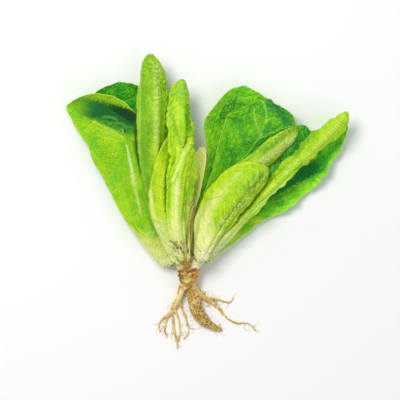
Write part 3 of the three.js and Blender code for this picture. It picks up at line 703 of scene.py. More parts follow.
def raised(plan, points, across, along, seed):
    """How far the bands on a leaf stand proud of it."""
    cells = round_cells(across / FOLD_WIDTH + along / 9, along / FOLD_LENGTH, seed + 4)
    folds = smooth(cells / 0.5)
    height = np.zeros(across.shape)
    for mark in plan["marks"]:
        passed, off = band_place(mark, points[..., 0], points[..., 1])
        end = band_end(mark)
        begun = smooth((passed + end) / end / 2)
        unfinished = smooth((1 + end - passed) / end / 2)
        weight = smooth((1 - off) / 0.65) * begun * unfinished
        bumps = 1 if mark["texture"] in ("plain", "soft") else 1.6 * folds - 0.6
        height += mark["rise"] * bumps * weight
    return height


def relief(plan, t, across, along, edge, seed):
    """Height over the blade, its fine part, the side veins, and the ruffle's phase and size."""
    x = np.abs(across)
    wander = 0.35 * soft_noise(across / 13, along / 13, seed)
    passed = (along - 0.5 * x - 0.012 * x * x) / VEIN_GAP + wander
    from_vein = np.abs(passed - np.round(passed)) * VEIN_GAP
    vein = np.exp(-((from_vein / VEIN_WIDTH) ** 2))
    grown = smooth((t - 0.1) / 0.25)
    pocket = smooth(from_vein / 3)
    cells = round_cells(across / BLISTER_WIDTH, along / BLISTER_LENGTH + 0.1 * x, seed + 1)
    blister = smooth(cells / 0.45)
    puff = (0.25 + 0.75 * blister) * (0.4 + 0.6 * pocket) - 0.45
    inside = smooth((x - 2) / 6) * grown * (1 - 0.7 * edge**6)
    fine = plan["pucker"] * puff * inside
    height = plan["sway"] * soft_noise(across / 19 + 5, along / 19, seed + 2)
    height = height * grown * smooth(x / 8)
    pleat = np.sin(PLEATS * edge + 2.2 * soft_noise(along / 30, edge + seed, seed + 6) + seed)
    pleat = plan["pleats"] * pleat * smooth(x / 4) * smooth((0.85 - t) / 0.5) * smooth(t / 0.2)
    height = height + pleat
    height = height + fine
    margin = smooth((edge - 0.5) / 0.5)
    drift = 0.9 * soft_noise(along / 16, 0 * along + seed, seed + 3)
    beat = 2 * math.pi * (along / plan["ripple"] + drift)
    uneven = 0.35 + 1.3 * np.abs(soft_noise(along / 21, 0 * along + seed + 7, seed + 5))
    rim = uneven * margin * grown * smooth((1 - t) / 0.15)
    height = height + plan["ruffle"] * rim * np.sin(beat)
    return height, fine, vein, passed, beat, rim


# %% [markdown]
# ## A leaf as a mesh
# Each leaf starts as a flat grid. Its own two coordinates are read as across and along the leaf,
# and its points move to where the formula puts them. A Solidify modifier then gives the blade
# its thickness, with a vertex group that makes it thick at the rib and thin at the edge. The
# numbers that the finish needs, such as the distance from the rib, are kept as attributes.

# %% Making one leaf
CELL = 1.05  # mm, about how far apart a fine leaf's points are
COARSE_ROWS = 20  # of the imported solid
COARSE_COLUMNS = 5  # of it, from the rib to each edge
SLIMMEST = 8  # mm, the least width that a fine leaf's columns are counted for
TIP_WIDTH = 0.05  # mm, points closer than this become one
THINNING = 0.62  # how thick a fine blade is, as a share of its solid's
GROOVE_DEPTH, GROOVE_WIDTH = 0.4, 1.6  # mm, the groove along the rib's inner side
RIB_RISE, RIB_NARROW = 0.6, 1.7  # mm, how far the rib stands out of the back, and its width
VEIN_RISE, VEIN_REACH = 0.35, 22  # mm, the same for side veins, and how far from the rib they fade


def coarse_lift(plan):
    """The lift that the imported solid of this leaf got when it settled."""
    t = fraction(COARSE_ROWS)
    s = np.linspace(-1, 1, 2 * COARSE_COLUMNS + 1)
    points, _, _ = sheet(plan, t, s)
    points[-1] = points[-1, COARSE_COLUMNS]
    depth = thickness(plan, t, s)
    lift = settle(plan, points, depth, coarse_ground)
    points[..., 2] += lift
    coarse_ground.pile_grid(two_faces(plan, points, depth)[0])
    return lift


def fine_leaf(plan, seed):
    """All that the mesh needs: points, thickness and the numbers for the finish."""
    lift = coarse_lift(plan)
    t_probe = fraction(COARSE_ROWS)
    span = max(reach(plan["left"], t_probe).max() + reach(plan["right"], t_probe).max(), SLIMMEST)
    length = np.linalg.norm(np.diff(spline(plan["spine"], t_probe), axis=0), axis=1).sum()
    rows = int(length / CELL)
    columns = 2 * int(1.35 * span / CELL / 2)
    u = np.linspace(0, 1, rows + 1)
    s = np.linspace(-1, 1, columns + 1)
    t = fraction(rows)
    t[-1] = 1 - 1e-5
    points, across, along = sheet(plan, t, s)
    rows_between = spline(np.eye(COARSE_ROWS + 1), u)
    columns_between = spline(np.eye(2 * COARSE_COLUMNS + 1), (s + 1) / 2)
    points[..., 2] += rows_between @ lift @ columns_between.T
    edge = np.broadcast_to(np.abs(s)[None, :], across.shape)
    height, fine, vein, passed, beat, rim = relief(plan, t[:, None], across, along, edge, seed)
    groove = GROOVE_DEPTH * np.exp(-((across / GROOVE_WIDTH) ** 2)) * (1 - t[:, None]) ** 0.5
    inward = -1 if plan["back_up"] else 1
    facing = normals(points)
    sideways = unit(np.gradient(points, axis=1)) * np.sign(s)[None, :, None]
    proud = raised(plan, points, across, along, seed)
    points = points + facing * (inward * (height - groove) + proud)[..., None]
    points = points + sideways * (plan["scallop"] * plan["ruffle"] * rim * np.cos(beat))[..., None]
    depth = THINNING * thickness(plan, t, s)
    fade = np.exp(-np.abs(across) / VEIN_REACH)
    depth = depth + VEIN_RISE * vein * fade * smooth(t / 0.3)[:, None]
    depth = depth + RIB_RISE * np.exp(-((across / RIB_NARROW) ** 2)) * (1 - t[:, None]) ** 0.7
    total = settle(plan, points, depth, fine_ground)
    points[..., 2] += total
    fine_ground.pile_grid(two_faces(plan, points, depth)[0])
    # puff is the relief height on the face that shows; the finish paints shade and highlight from
    # it.
    numbers = dict(
        edge=edge, passed=passed, puff=inward * fine + proud,
        t=np.broadcast_to(t[:, None], across.shape),
    )
    return points, depth, across, along, numbers, total.max()


def co_of(mesh, field="co"):
    """The places of a mesh's corners, or another of their vectors, as rows of three."""
    flat = np.empty(3 * len(mesh.vertices))
    mesh.vertices.foreach_get(field, flat)
    return flat.reshape(-1, 3)


def grid_object(name, rows, columns):
    """A flat square grid, one metre wide."""
    bpy.ops.object.select_all(action="DESELECT")
    bpy.ops.mesh.primitive_grid_add(x_subdivisions=columns, y_subdivisions=rows, size=1)
    piece = bpy.context.object
    piece.name = name
    piece.data.name = name
    return piece


def apply(piece, kind, **settings):
    """Adds a modifier to a piece and applies it."""
    modifier = piece.modifiers.new(kind.title(), kind)
    for key, value in settings.items():
        setattr(modifier, key, value)
    bpy.ops.object.modifier_apply(modifier=modifier.name)


def leaf_mesh(plan, seed):
    """One leaf as a closed mesh, with a material slot for its inner face and one for its back."""
    points, depth, across, along, numbers, extra = fine_leaf(plan, seed)
    rows, columns = (n - 1 for n in across.shape)
    piece = grid_object(plan["name"] + "_blade", rows, columns)
    mesh = piece.data
    flat = co_of(mesh)
    i = np.rint((flat[:, 1] + 0.5) * rows).astype(int)
    j = np.rint((flat[:, 0] + 0.5) * columns).astype(int)
    mesh.vertices.foreach_set("co", (points[i, j] * MM).ravel())
    blade = mesh.attributes.new("blade", "FLOAT_VECTOR", "POINT")
    vectors = np.stack([across[i, j], along[i, j], numbers["t"][i, j]], 1)
    blade.data.foreach_set("vector", vectors.ravel())
    for key in ("edge", "passed", "puff"):
        mesh.attributes.new(key, "FLOAT", "POINT").data.foreach_set("value", numbers[key][i, j])
    deepest = depth.max()
    group = piece.vertex_groups.new(name="depth")
    for n, share in enumerate(depth[i, j] / deepest):
        group.add([n], share, "REPLACE")
    mesh.update()
    bpy.ops.object.mode_set(mode="EDIT")
    bpy.ops.mesh.select_all(action="SELECT")
    bpy.ops.mesh.remove_doubles(threshold=TIP_WIDTH * MM)
    bpy.ops.object.mode_set(mode="OBJECT")
    faces = len(mesh.polygons)
    apply(
        piece, "SOLIDIFY", thickness=deepest * MM, offset=1 if plan["back_up"] else -1,
        vertex_group="depth", use_rim=True, use_even_offset=False,
    )
    bpy.ops.object.shade_smooth()
    # Solidify lists the upper faces first, then the lower ones, then the rim.
    slots = np.full(len(mesh.polygons), int(plan["back_up"]), dtype=np.int32)
    slots[faces : 2 * faces] = int(not plan["back_up"])
    mesh.polygons.foreach_set("material_index", slots)
    print(plan["name"], len(mesh.polygons), "faces, settled", round(float(extra), 2), "mm more")
    return piece


# %% [markdown]
# ## Writing a finish as a sum
# A procedural finish is a small calculation for each point of the surface. It reads best as one,
# so a wire between two nodes takes part in ordinary arithmetic here, and every operator adds the
# Math node that it stands for. All other nodes come from one method.

# %% Wires and nodes
class Wire:
    """An output in a finish. Arithmetic on it adds Math nodes."""

    def __init__(self, finish, socket):
        self.finish, self.socket = finish, socket

    def math(self, operation, *values):
        return self.finish.add("ShaderNodeMath", dict(operation=operation), dict(enumerate(values)))

    def __add__(self, other):
        return self.math("ADD", self, other)

    def __sub__(self, other):
        return self.math("SUBTRACT", self, other)

    def __rsub__(self, other):
        return self.math("SUBTRACT", other, self)

    def __mul__(self, other):
        return self.math("MULTIPLY", self, other)

    def __truediv__(self, other):
        return self.math("DIVIDE", self, other)

    def __abs__(self):
        return self.math("ABSOLUTE", self)

    __radd__ = __add__
    __rmul__ = __mul__


class Finish:
    """A material under construction."""

    def __init__(self, name):
        self.material = bpy.data.materials.new(name)
        self.material.use_nodes = True
        self.tree = self.material.node_tree
        self.shader = self.tree.nodes["Principled BSDF"]

    def add(self, kind, settings=None, inputs=None, output=0):
        """Adds a node, sets its settings and then its inputs, and returns one of its outputs."""
        node = self.tree.nodes.new(kind)
        for key, value in (settings or {}).items():
            setattr(node, key, value)
        for key, value in (inputs or {}).items():
            self.plug(node.inputs[key], value)
        return Wire(self, node.outputs[output])

    def plug(self, socket, value):
        if isinstance(value, Wire):
            self.tree.links.new(value.socket, socket)
        else:
            socket.default_value = value

    def attribute(self, name, output):
        return self.add("ShaderNodeAttribute", dict(attribute_name=name), output=output)

    def parts(self, vector):
        return [self.add("ShaderNodeSeparateXYZ", {}, {0: vector}, n) for n in range(3)]

    def vector(self, x=0.0, y=0.0, z=0.0):
        return self.add("ShaderNodeCombineXYZ", {}, {0: x, 1: y, 2: z})

    def noise(self, vector, scale, detail=2.0, distortion=0.0):
        inputs = {"Vector": vector, "Scale": scale, "Detail": detail, "Distortion": distortion}
        return self.add("ShaderNodeTexNoise", {}, inputs)

    def creases(self, vector, scale):
        """0 on the lines of an irregular net, larger inside its meshes."""
        settings = dict(feature="DISTANCE_TO_EDGE")
        return self.add("ShaderNodeTexVoronoi", settings, {"Vector": vector, "Scale": scale})

    def step(self, value, low, high):
        """0 below low, 1 above high, and smooth between; low may be the greater."""
        flipped = low > high
        settings = dict(interpolation_type="SMOOTHSTEP")
        limits = {1: min(low, high), 2: max(low, high), 3: float(flipped), 4: float(not flipped)}
        return self.add("ShaderNodeMapRange", settings, {0: value, **limits})

    def mix(self, share, a, b):
        return self.add("ShaderNodeMix", dict(data_type="RGBA"), {0: share, 6: a, 7: b}, 2)

    def bump(self, height, distance, strength=1.0):
        inputs = {"Height": height, "Distance": distance, "Strength": strength}
        return self.add("ShaderNodeBump", {}, inputs)

    def surface(self, **inputs):
        for key, value in inputs.items():
            self.plug(self.shader.inputs[key.replace("_", " ")], value)
        return self.material


def colour(code):
    """A web colour code as linear light."""
    shares = [int(code[n : n + 2], 16) / 255 for n in (0, 2, 4)]
    return (*[c / 12.92 if c <= 0.04045 else ((c + 0.055) / 1.055) ** 2.4 for c in shares], 1.0)


# %% [markdown]
# ## The leaf's finish
# A romaine leaf is cream where it clasps the stem, then yellow-green, and full green where the
# blade got the light. The rib stays pale nearly to the tip, the side veins are thin pale lines,
# and between them runs a fine net. The back is paler and duller than the inner face and its
# veins stand proud. Thin blades let some light through, which is a faint glow here. A painted
# image would do for one leaf; one recipe makes all sixteen from a short row of colours each.

# %% Leaf colours
LOOK_FIELDS = ("deep", "blade", "light", "cream", "rib", "cream_end", "veins", "rib_share")
LOOKS = dict(
    green=("0a9020", "5cc614", "98dc12", "dcea80", "bce058", 0.22, 0.34, 0.55),
    bright=("18a024", "78dc1e", "b4ee24", "dcea80", "bce058", 0.22, 0.3, 0.4),
    deep=("007e1e", "2eae1a", "74ca18", "dae87c", "a8d450", 0.2, 0.3, 0.5),
    sunlit=("6cc410", "98d408", "b8e412", "e8ee9a", "d2e65c", 0.16, 0.2, 0.0),
    back=("68ac08", "8cc40c", "b8dc20", "e6eea0", "c4dc4c", 0.24, 0.14, 0.25),
    lively=("80c010", "a6dc10", "ccf02c", "e6eea0", "c4dc4c", 0.24, 0.12, 0.2),
    folded=("5eb010", "a0d01a", "cce444", "e8eea4", "d6e670", 0.26, 0.14, 0.2),
    heart=("90cc08", "b8e410", "dcf02c", "ecf098", "e2ee6c", 0.36, 0.12, 0.3),
    withered=("d2e060", "e8f084", "f4f4aa", "c49022", "e2de7c", 0.3, 0.2, 0.4),
)
LOOKS = {name: dict(zip(LOOK_FIELDS, row)) for name, row in LOOKS.items()}
BROWN, PALE_RIM, THREAD = colour("7d4f18"), colour("cfe66a"), colour("f4f1e2")
CLOUDS, GRAINS, NET, CRACKS = 0.07, 0.5, 0.42, 0.16  # how many of each there are to a mm
BROKEN = dict(glint_specks=0.35, crinkle=-0.6, ribs=0.3)  # how high the patterns look in the bump


def band_mask(paint, mark, x, y, rough):
    """1 in a band and 0 outside it, with a border that noise breaks up."""
    passed, off = band_place(mark, x, y)
    end = band_end(mark)
    fray, outer, inner = (0.5, 1.1, 0.0) if mark["texture"] == "soft" else (0.9, 1.0, 0.5)
    mask = paint.step(off + (rough - 0.5) * fray, outer, inner)
    return mask * paint.step(passed, -end, end) * paint.step(passed, 1 + end, 1 - end)


def band_textures(paint, place, along, fleck):
    """The patterns that can break a band up, each from 0 to 1."""
    wave = paint.add("ShaderNodeMath", dict(operation="SINE"), {0: along * 2.6 + fleck * 4.0})
    return dict(
        plain=1.0,
        soft=1.0,
        # The specks are painted highlights, the glints of wet blisters.
        glint_specks=paint.step(fleck, 0.44, 0.66),
        flecks=paint.step(fleck, 0.55, 0.62),
        crinkle=paint.step(paint.creases(place + fleck, 0.33), 0.24, 0.02) * 0.75 + 0.25,
        ribs=paint.step(wave, -0.3, 0.5),
    )


def leaf_finish(plan, back):
    """The material of a leaf's back or of its inner face; only the upper one shows bands."""
    look = LOOKS[plan["look"]]
    paint = Finish(plan["name"] + ("_back" if back else "_inner"))
    deep, light, pale = (colour(look[key]) for key in ("deep", "light", "rib"))

    # Where on the leaf a point is, and noise at the size of clouds and of grains.
    across, along, t = paint.parts(paint.attribute("blade", 1))
    edge, passed, puff = (paint.attribute(key, 2) for key in ("edge", "passed", "puff"))
    place = paint.vector(across, along)
    cloud = paint.noise(place, CLOUDS, 3.0, 0.6)
    grain = paint.noise(place, GRAINS, 3.0)
    from_rib = abs(across)

    # The blade: cloudy and mottled greens, lighter towards the edge, then a painted highlight on
    # the raised blisters and painted shade in the low parts between them.
    body = colour(look["blade"])
    body = paint.mix(paint.step(cloud, 0.44, 0.68) * (0.5 if back else 0.8), body, deep)
    body = paint.mix(paint.step(cloud + grain * 0.3, 0.64, 0.46) * 0.5, body, light)
    body = paint.mix(paint.step(grain, 0.47, 0.36) * 0.4, body, deep)
    body = paint.mix(paint.step(grain, 0.55, 0.68) * 0.35, body, light)
    body = paint.mix(paint.step(edge, 0.7, 1.0) * 0.5, body, light)
    # Painted shade in the low parts of the relief and painted highlight on the raised parts.
    body = paint.mix(paint.step(puff, 0.0, -0.5) * 0.75, body, deep)
    body = paint.mix(paint.step(puff, 0.05, 0.4) * 0.4, body, light)

    # Side veins, the fine net between them, the cream base and the rib.
    nearest = paint.add("ShaderNodeMath", dict(operation="ROUND"), {0: passed})
    near = abs(passed - nearest) * VEIN_GAP
    vein = paint.step(near, 0.9, 0.15) * (0.3 + 0.7 * paint.step(from_rib, 24.0, 3.0))
    meshes = paint.creases(place, NET)
    net = paint.step(meshes, 0.07, 0.0)
    body = paint.mix(vein * look["veins"] * (0.5 + grain), body, pale)
    body = paint.mix(net * look["veins"] * 0.45, body, pale)
    cream = paint.step(t + (cloud - 0.5) * 0.25 - from_rib * 0.004, look["cream_end"], 0.04)
    body = paint.mix(cream, body, colour(look["cream"]))
    rib = paint.step(from_rib / (4.0 - t * 3.3), 1.0, 0.3) * paint.step(t, 0.97, 0.5)
    body = paint.mix(rib * look["rib_share"], body, pale)

    # The leaf's own bands.
    pattern = 0.0
    if back == plan["back_up"]:
        spot = paint.add("ShaderNodeTexCoord", output=3)
        scaled = dict(operation="SCALE")
        x, y, _ = paint.parts(paint.add("ShaderNodeVectorMath", scaled, {0: spot, 3: 1 / MM}))
        textures = band_textures(paint, place, along, grain)
        for mark in plan["marks"]:
            mask = band_mask(paint, mark, x, y, grain) * textures[mark["texture"]]
            body = paint.mix(mask * mark["share"], body, colour(mark["tint"]))
            if mark["texture"] in BROKEN:
                pattern = mask * BROKEN[mark["texture"]] + pattern

    # A pale rim, partly the paler thin margin and partly a painted highlight where the thin edge
    # catches the light, and at the base pale threads, brown cracks and the scar.
    body = paint.mix(paint.step(edge, 0.98, 1.0) * 0.35, body, PALE_RIM)
    threads = paint.noise(paint.vector(across * 1.6, along * 0.22), 1.0, 2.0)
    threads = paint.step(along, 20.0, 5.0) * paint.step(threads, 0.5, 0.66)
    body = paint.mix(threads * 0.6, body, THREAD)
    crack = paint.step(paint.creases(place, CRACKS), 0.05, 0.0) * paint.step(along, 17.0, 8.0)
    crack = crack * paint.step(grain, 0.42, 0.55)
    body = paint.mix(crack * 0.85, body, BROWN)
    scar = paint.step(along, 6.0, 1.0) * paint.step(grain, 0.45, 0.62)
    body = paint.mix(scar * 0.8, body, BROWN)

    height = paint.step(meshes, 0.0, 0.22) * 0.4 + grain * 0.6
    height = height + vein * (0.5 if back else -0.5) + pattern
    rough = 0.26 + grain * 0.2 + (0.03 if back else 0.0)
    return paint.surface(
        Base_Color=body, Roughness=rough, Specular_IOR_Level=0.25, Subsurface_Weight=0.1,
        Subsurface_Radius=(0.4, 1.0, 0.1), Subsurface_Scale=0.0015,
        Emission_Color=body, Emission_Strength=plan["glow"], Normal=paint.bump(height, 0.0007, 0.9),
    )


def dress_leaf(plan, seed):
    """Makes one leaf and its two materials, and puts it in its solid's place."""
    piece = leaf_mesh(plan, seed)
    piece.data.materials.append(leaf_finish(plan, back=False))
    piece.data.materials.append(leaf_finish(plan, back=True))
    slots = dict(heart="leaf_heart", withered="leaf_withered")
    slots.update(back="leaf_back", folded="leaf_back", lively="leaf_back")
    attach(piece, "root")
    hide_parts(plan["name"])


# %% [markdown]
# ## The lower leaves
# The five broad leaves at the bottom of the pile are laid down first, one after the other, as
# each settles on those before it. Every leaf has its own seed, so no two are alike.

# %% The lower leaves
LOWER_SEED, UPPER_SEED, SEED_STEP = 100, 300, 10
for n, plan in enumerate(LOWER_LEAVES):
    dress_leaf(plan, LOWER_SEED + SEED_STEP * n)

# %% [markdown]
# ## The root crown
# The crown is one body: a knot, two short stems and the roots. By hand it could be sculpted from
# clay, and that is nearly what is done here. Each limb is a tube along a curve, all the tubes are
# joined, a voxel remesh melts them into one skin, and small lumps and rings are pushed into it.

# %% The limbs
LIMBS = [  # each a row of stations: x, y, z and radius in mm
    [[-1, -10, 5.6, 3.8], [0, -5, 6.4, 6.2], [0, 0, 6.6, 7.4], [0, 5, 9.4, 6.4]],
    [[0, 1, 9.8, 6.2], [-4, 7, 13, 5.4], [-7, 13, 16, 4.5], [-9, 20, 18, 3.4], [-10, 25, 19, 2.2]],
    [[0, 1, 9.8, 6.2], [4.5, 7, 13, 5.4], [8.5, 12, 16, 4.5], [12, 18, 18, 3.4],
     [14, 22, 19, 2.2]],
    [[-6.2, -3, 8, 1.9], [-2.5, -5, 11.8, 2.3], [3.4, -4.6, 11.8, 2.2], [6.6, -1, 8.4, 1.8]],
    [[-5.8, 4, 10.5, 1.8], [-2.6, 1.5, 14.4, 2], [1.8, 0.5, 14.8, 2], [5.4, 3, 11.6, 1.7]],
    [[-1, -4, 7, 5], [-4.4, -9, 5.8, 3.6], [-7.2, -18, 4.2, 2.8], [-11, -25, 3, 2.3],
     [-15, -33, 2.2, 1.6]],
    [[-14, -31, 2, 1.3], [-18, -37, 1.4, 0.9], [-20, -46, 1.1, 0.7], [-18, -54, 0.8, 0.5]],
    [[-14, -31, 2, 1.4], [-13, -37, 1.6, 1.1], [-12, -47, 1.4, 1], [-10, -55, 1.2, 0.9],
     [-9, -63, 0.8, 0.6]],
    [[-12, -28, 2.4, 1.3], [-8, -38, 1.8, 0.8], [-7, -48, 1.4, 0.7], [-8, -56, 1.1, 0.6]],
    [[-8, -20, 3.6, 1.3], [-4, -32, 2.2, 0.9], [0, -43, 1.3, 0.7], [0, -50, 1, 0.6],
     [-4, -55, 0.7, 0.5]],
    [[-14, -31, 2, 1.1], [-20, -36, 1.2, 0.7], [-25, -42, 0.9, 0.6], [-24, -49, 0.7, 0.5]],
    [[2, -4, 6.4, 4.4], [4, -16, 5, 4.4], [7, -28, 5, 5.1], [12, -37, 4.3, 4.5],
     [20, -43, 2.8, 2.8], [29, -47, 1.4, 1]],
    [[2, -5, 6, 3.2], [10, -16, 4.2, 2.6], [18, -21, 2.8, 1.8], [24, -26, 1.9, 1.2],
     [34, -37, 1.1, 0.8], [42, -41, 0.9, 0.7], [51, -41, 0.8, 0.6], [60, -49, 0.7, 0.5]],
    [[17, -20, 2.6, 1.3], [24, -20, 1.5, 0.8], [30, -22, 1, 0.7], [36, -23, 0.8, 0.6],
     [39, -19, 0.7, 0.5]],
    [[8.8, 5, 13, 1.3], [7, 1, 13.5, 1.9], [4, -4, 13.2, 1.8], [0.5, -8.5, 11.5, 1.5],
     [-3, -12, 9, 1.2]],
    [[-5.5, 5.5, 13, 1], [-7.2, 2, 12.5, 1.3], [-6.5, -3, 12, 1.3], [-3.5, -6.5, 12, 1.3],
     [-1, -9, 11.5, 1]],
]
THICK_ROOT = LIMBS[11]
LIMB_SIDES = 16
LIMB_SPACING = 1.5  # mm between the rings of a tube
VOXEL = 0.42  # mm


def tube(stations, sides, spacing):
    """A closed tube along stations of x, y, z and radius in mm, made as a curve with a bevel."""
    stations = np.asarray(stations, float)
    length = np.linalg.norm(np.diff(stations[:, :3], axis=0), axis=1).sum()
    fine = spline(stations, np.linspace(0, 1, max(4, int(length / spacing))))
    bpy.ops.object.select_all(action="DESELECT")
    bpy.ops.curve.primitive_nurbs_path_add()
    piece = bpy.context.object
    line = piece.data
    line.splines.clear()
    course = line.splines.new("POLY")
    course.points.add(len(fine) - 1)
    course.points.foreach_set("co", np.hstack([fine[:, :3] * MM, np.ones((len(fine), 1))]).ravel())
    course.points.foreach_set("radius", fine[:, 3])
    line.dimensions = "3D"
    line.bevel_depth = MM
    line.bevel_resolution = sides // 4 - 1
    line.use_fill_caps = True
    bpy.ops.object.convert(target="MESH")
    return piece


def join(pieces, name):
    """The pieces as one object."""
    bpy.ops.object.select_all(action="DESELECT")
    for piece in pieces:
        piece.select_set(True)
    bpy.context.view_layer.objects.active = pieces[0]
    bpy.ops.object.join()
    whole = bpy.context.object
    whole.name = name
    whole.data.name = name
    return whole


crown = join([tube(limb, LIMB_SIDES, LIMB_SPACING) for limb in LIMBS], "root_crown_skin")
apply(crown, "REMESH", mode="VOXEL", voxel_size=VOXEL * MM)
apply(crown, "SMOOTH", factor=0.5, iterations=2)
print("crown faces:", len(crown.data.polygons))

# %% [markdown]
# ## The crown's skin
# Roots are ringed and lumpy. The rings run round the knot, where old leaves were shed, fine
# wrinkles cover the rest, and the thick root is matted and full of pits. A displacement image
# could do this; here each is a height, pushed along the surface's own normals. The foot of the
# knot is then cut flat where it stands on the table.

# %% Rings, lumps and the flat foot
RING_GAP = 3.6  # mm
KNOT_AT, KNOT_REACH = 2, 8  # mm along Y, the middle of the knot and how far its rings go
FLAT_FOOT = 1e-7  # m, how close to the table a corner counts as on it

points = co_of(crown.data) / MM
facing = co_of(crown.data, field="normal")
x, y, z = points.T
knot = np.exp(-((y - KNOT_AT) / KNOT_REACH) ** 2)
rings = 2 * math.pi * (y + 0.25 * x) / RING_GAP
rings = np.sin(rings + 2 * soft_noise(x / 4, z / 4, 7))
lumps = soft_noise(x / 2.6 + z / 3, y / 2.6, 8)
wrinkle = soft_noise(x / 0.9 + z, y / 1.4, 9)
free = smooth(z / 2)
push = (0.55 * rings * knot + 0.35 * lumps + 0.18 * wrinkle) * free
push = push * (0.25 + 0.75 * smooth((z - 1) / 4))
axis = spline(np.array(THICK_ROOT, float), np.linspace(0.2, 1, 60))
from_axis = np.min([np.linalg.norm(points - row[:3], axis=1) / row[3] for row in axis], axis=0)
matted = smooth((1.5 - from_axis) / 0.3) * free
pit = smooth(round_cells(x / 2.4 + z / 4, y / 2.0 + z / 5, 12) / 0.5)
push += (0.35 - 0.95 * pit) * matted
points += facing * push[:, None]
for key, values in (("pit", pit * matted), ("matted", matted)):
    crown.data.attributes.new(key, "FLOAT", "POINT").data.foreach_set("value", values)
crown.data.vertices.foreach_set("co", (points * MM).ravel())
crown.data.update()
bpy.ops.object.mode_set(mode="EDIT")
bpy.ops.mesh.select_all(action="SELECT")
bpy.ops.mesh.bisect(
    plane_co=(0, 0, 0), plane_no=(0, 0, 1), use_fill=True, clear_inner=True, threshold=FLAT_FOOT,
)
bpy.ops.object.mode_set(mode="OBJECT")
bpy.ops.object.shade_smooth()
points = co_of(crown.data) / MM
fine_ground.pile(points)
print("crown from", round(float(points[:, 2].min()), 3), "to", round(float(points[:, 2].max()), 1))

# %% [markdown]
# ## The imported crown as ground
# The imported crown's own solid is laid on the coarse height map, so that the upper leaves settle
# on it just as their solids did. The fine crown would do nearly as well, but then a leaf could
# end up beside the solid that it stands for.

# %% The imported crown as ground
cad_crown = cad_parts["root_crown"].data
corners = co_of(cad_crown)[np.array([list(face.vertices)[:3] for face in cad_crown.polygons])] / MM
STEPS = 9  # points that are read along each side of a triangle
for u in np.linspace(0, 1, STEPS):
    for v in np.linspace(0, 1 - u, STEPS):
        coarse_ground.pile(corners[:, 0] * (1 - u - v) + corners[:, 1] * u + corners[:, 2] * v)
print("packed crown triangles:", len(corners))

# %% [markdown]
# ## The root's finish
# Washed roots are straw coloured, with browner skin in the folds and dark specks of soil. The
# stems above the knot are the bases of leaves and are cream to pale green. The colour changes
# along the plant, so it is read from the Y coordinate, noise breaks every border, and bands
# like those of the leaves mark the knot's own scars.

# %% Root finish
ROOT_BANDS = [
    (-2.5, 0, 1.5, -4, 3.2, 3.2, "d8de80", 0.85),
    (-7, 4, -6.5, -4, 1.7, 1.7, "6e420c", 0.85, "plain", 0.8),
    (-7, -4, -1, -8.5, 1.5, 1.5, "84541a", 0.75),
    (8.5, 5, 4, -4, 2.2, 2.2, "c88a24", 0.85),
    (4, -4, -1, -9.5, 1.9, 1.9, "9a6418", 0.8),
    (0, 3.5, 7, 6, 1.5, 1.5, "63380a", 0.8),
    (-3.5, -7.5, -8.5, -19.5, 3.4, 3.4, "f4e4a8", 0.8, "soft"),
    (-8.5, -19.5, -13.5, -31.5, 3.1, 2.7, "f0dc94", 0.75, "soft"),
    (0, -10, 4, -18.5, 3.4, 3.4, "d09a44", 0.6, "soft"),
]


def root_finish(name, hairs=False):
    """The material of the crown, or the plainer one of its hairs."""
    paint = Finish(name)
    spot = paint.add("ShaderNodeTexCoord", output=3)
    x, y, z = paint.parts(spot)
    cloud = paint.noise(spot, 160.0, 3.0, 0.5)
    speck = paint.noise(spot, 900.0, 2.0)
    streak = paint.noise(paint.vector(x * 3.0, y * 0.7, z * 3.0), 420.0, 3.0)
    body = paint.mix(paint.step(cloud, 0.35, 0.65), colour("f2dc94"), colour("d2a64a"))
    body = paint.mix(paint.step(streak, 0.54, 0.7) * 0.6, body, colour("9c7232"))
    body = paint.mix(paint.step(speck, 0.62, 0.72) * 0.6, body, colour("5a3c14"))
    if hairs:
        return paint.surface(Base_Color=body, Roughness=0.7)

    # The ringed collar of the knot, then the stems above it, yellow-green and cream.
    collar = paint.step(y + (cloud - 0.5) * 0.008, -0.004, 0.001) * paint.step(y, 0.008, 0.004)
    ring = paint.noise(paint.vector(x * 0.6, y * 2.2, z * 0.6), 260.0, 2.0)
    body = paint.mix(collar * paint.step(ring, 0.42, 0.6) * 0.85, body, colour("6e3f0e"))
    stem = paint.step(y + (cloud - 0.5) * 0.006, 0.005, 0.009)
    flesh = paint.mix(paint.step(x, -0.002, 0.004), colour("d7e487"), colour("f0eec8"))
    flesh = paint.mix(paint.step(speck, 0.62, 0.75) * 0.5, flesh, colour("a27a34"))
    body = paint.mix(stem, body, flesh)

    # The matted thick root with its pits, and the bands.
    body = paint.mix(paint.attribute("matted", 2) * 0.7, body, colour("e2c070"))
    pit = paint.step(paint.attribute("pit", 2), 0.35, 0.95)
    body = paint.mix(pit * 0.85, body, colour("6e4a14"))
    for mark in (band(*row) for row in ROOT_BANDS):
        mask = band_mask(paint, mark, x / MM, y / MM, cloud)
        body = paint.mix(mask * mark["share"], body, colour(mark["tint"]))
    height = streak * 0.6 + speck * 0.4
    return paint.surface(
        Base_Color=body, Roughness=0.55 + speck * 0.2, Specular_IOR_Level=0.35,
        Normal=paint.bump(height, 0.0004, 0.8),
    )


crown.data.materials.clear()
crown.data.materials.append(root_finish("root_skin"))
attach(crown, "root")
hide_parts("root_crown")

# %% [markdown]
# ## The upper leaves
# The other eleven leaves settle on the lower ones and on the crown, the front ones last.

# %% The upper leaves
for n, plan in enumerate(UPPER_LEAVES):
    dress_leaf(plan, UPPER_SEED + SEED_STEP * n)

# %% [markdown]
# ## Root hairs
# Fine hairs and thread-like roots spring from every root and mat the thick one. They could be
# hair curves, but as thin four-sided tubes they export with the rest. Each tube follows a seeded
# walk, and all are joined. A free hair starts on a root, sinks to the table and wanders, a
# clinging one creeps over a root's skin, and a curly one springs from a root's upper part.

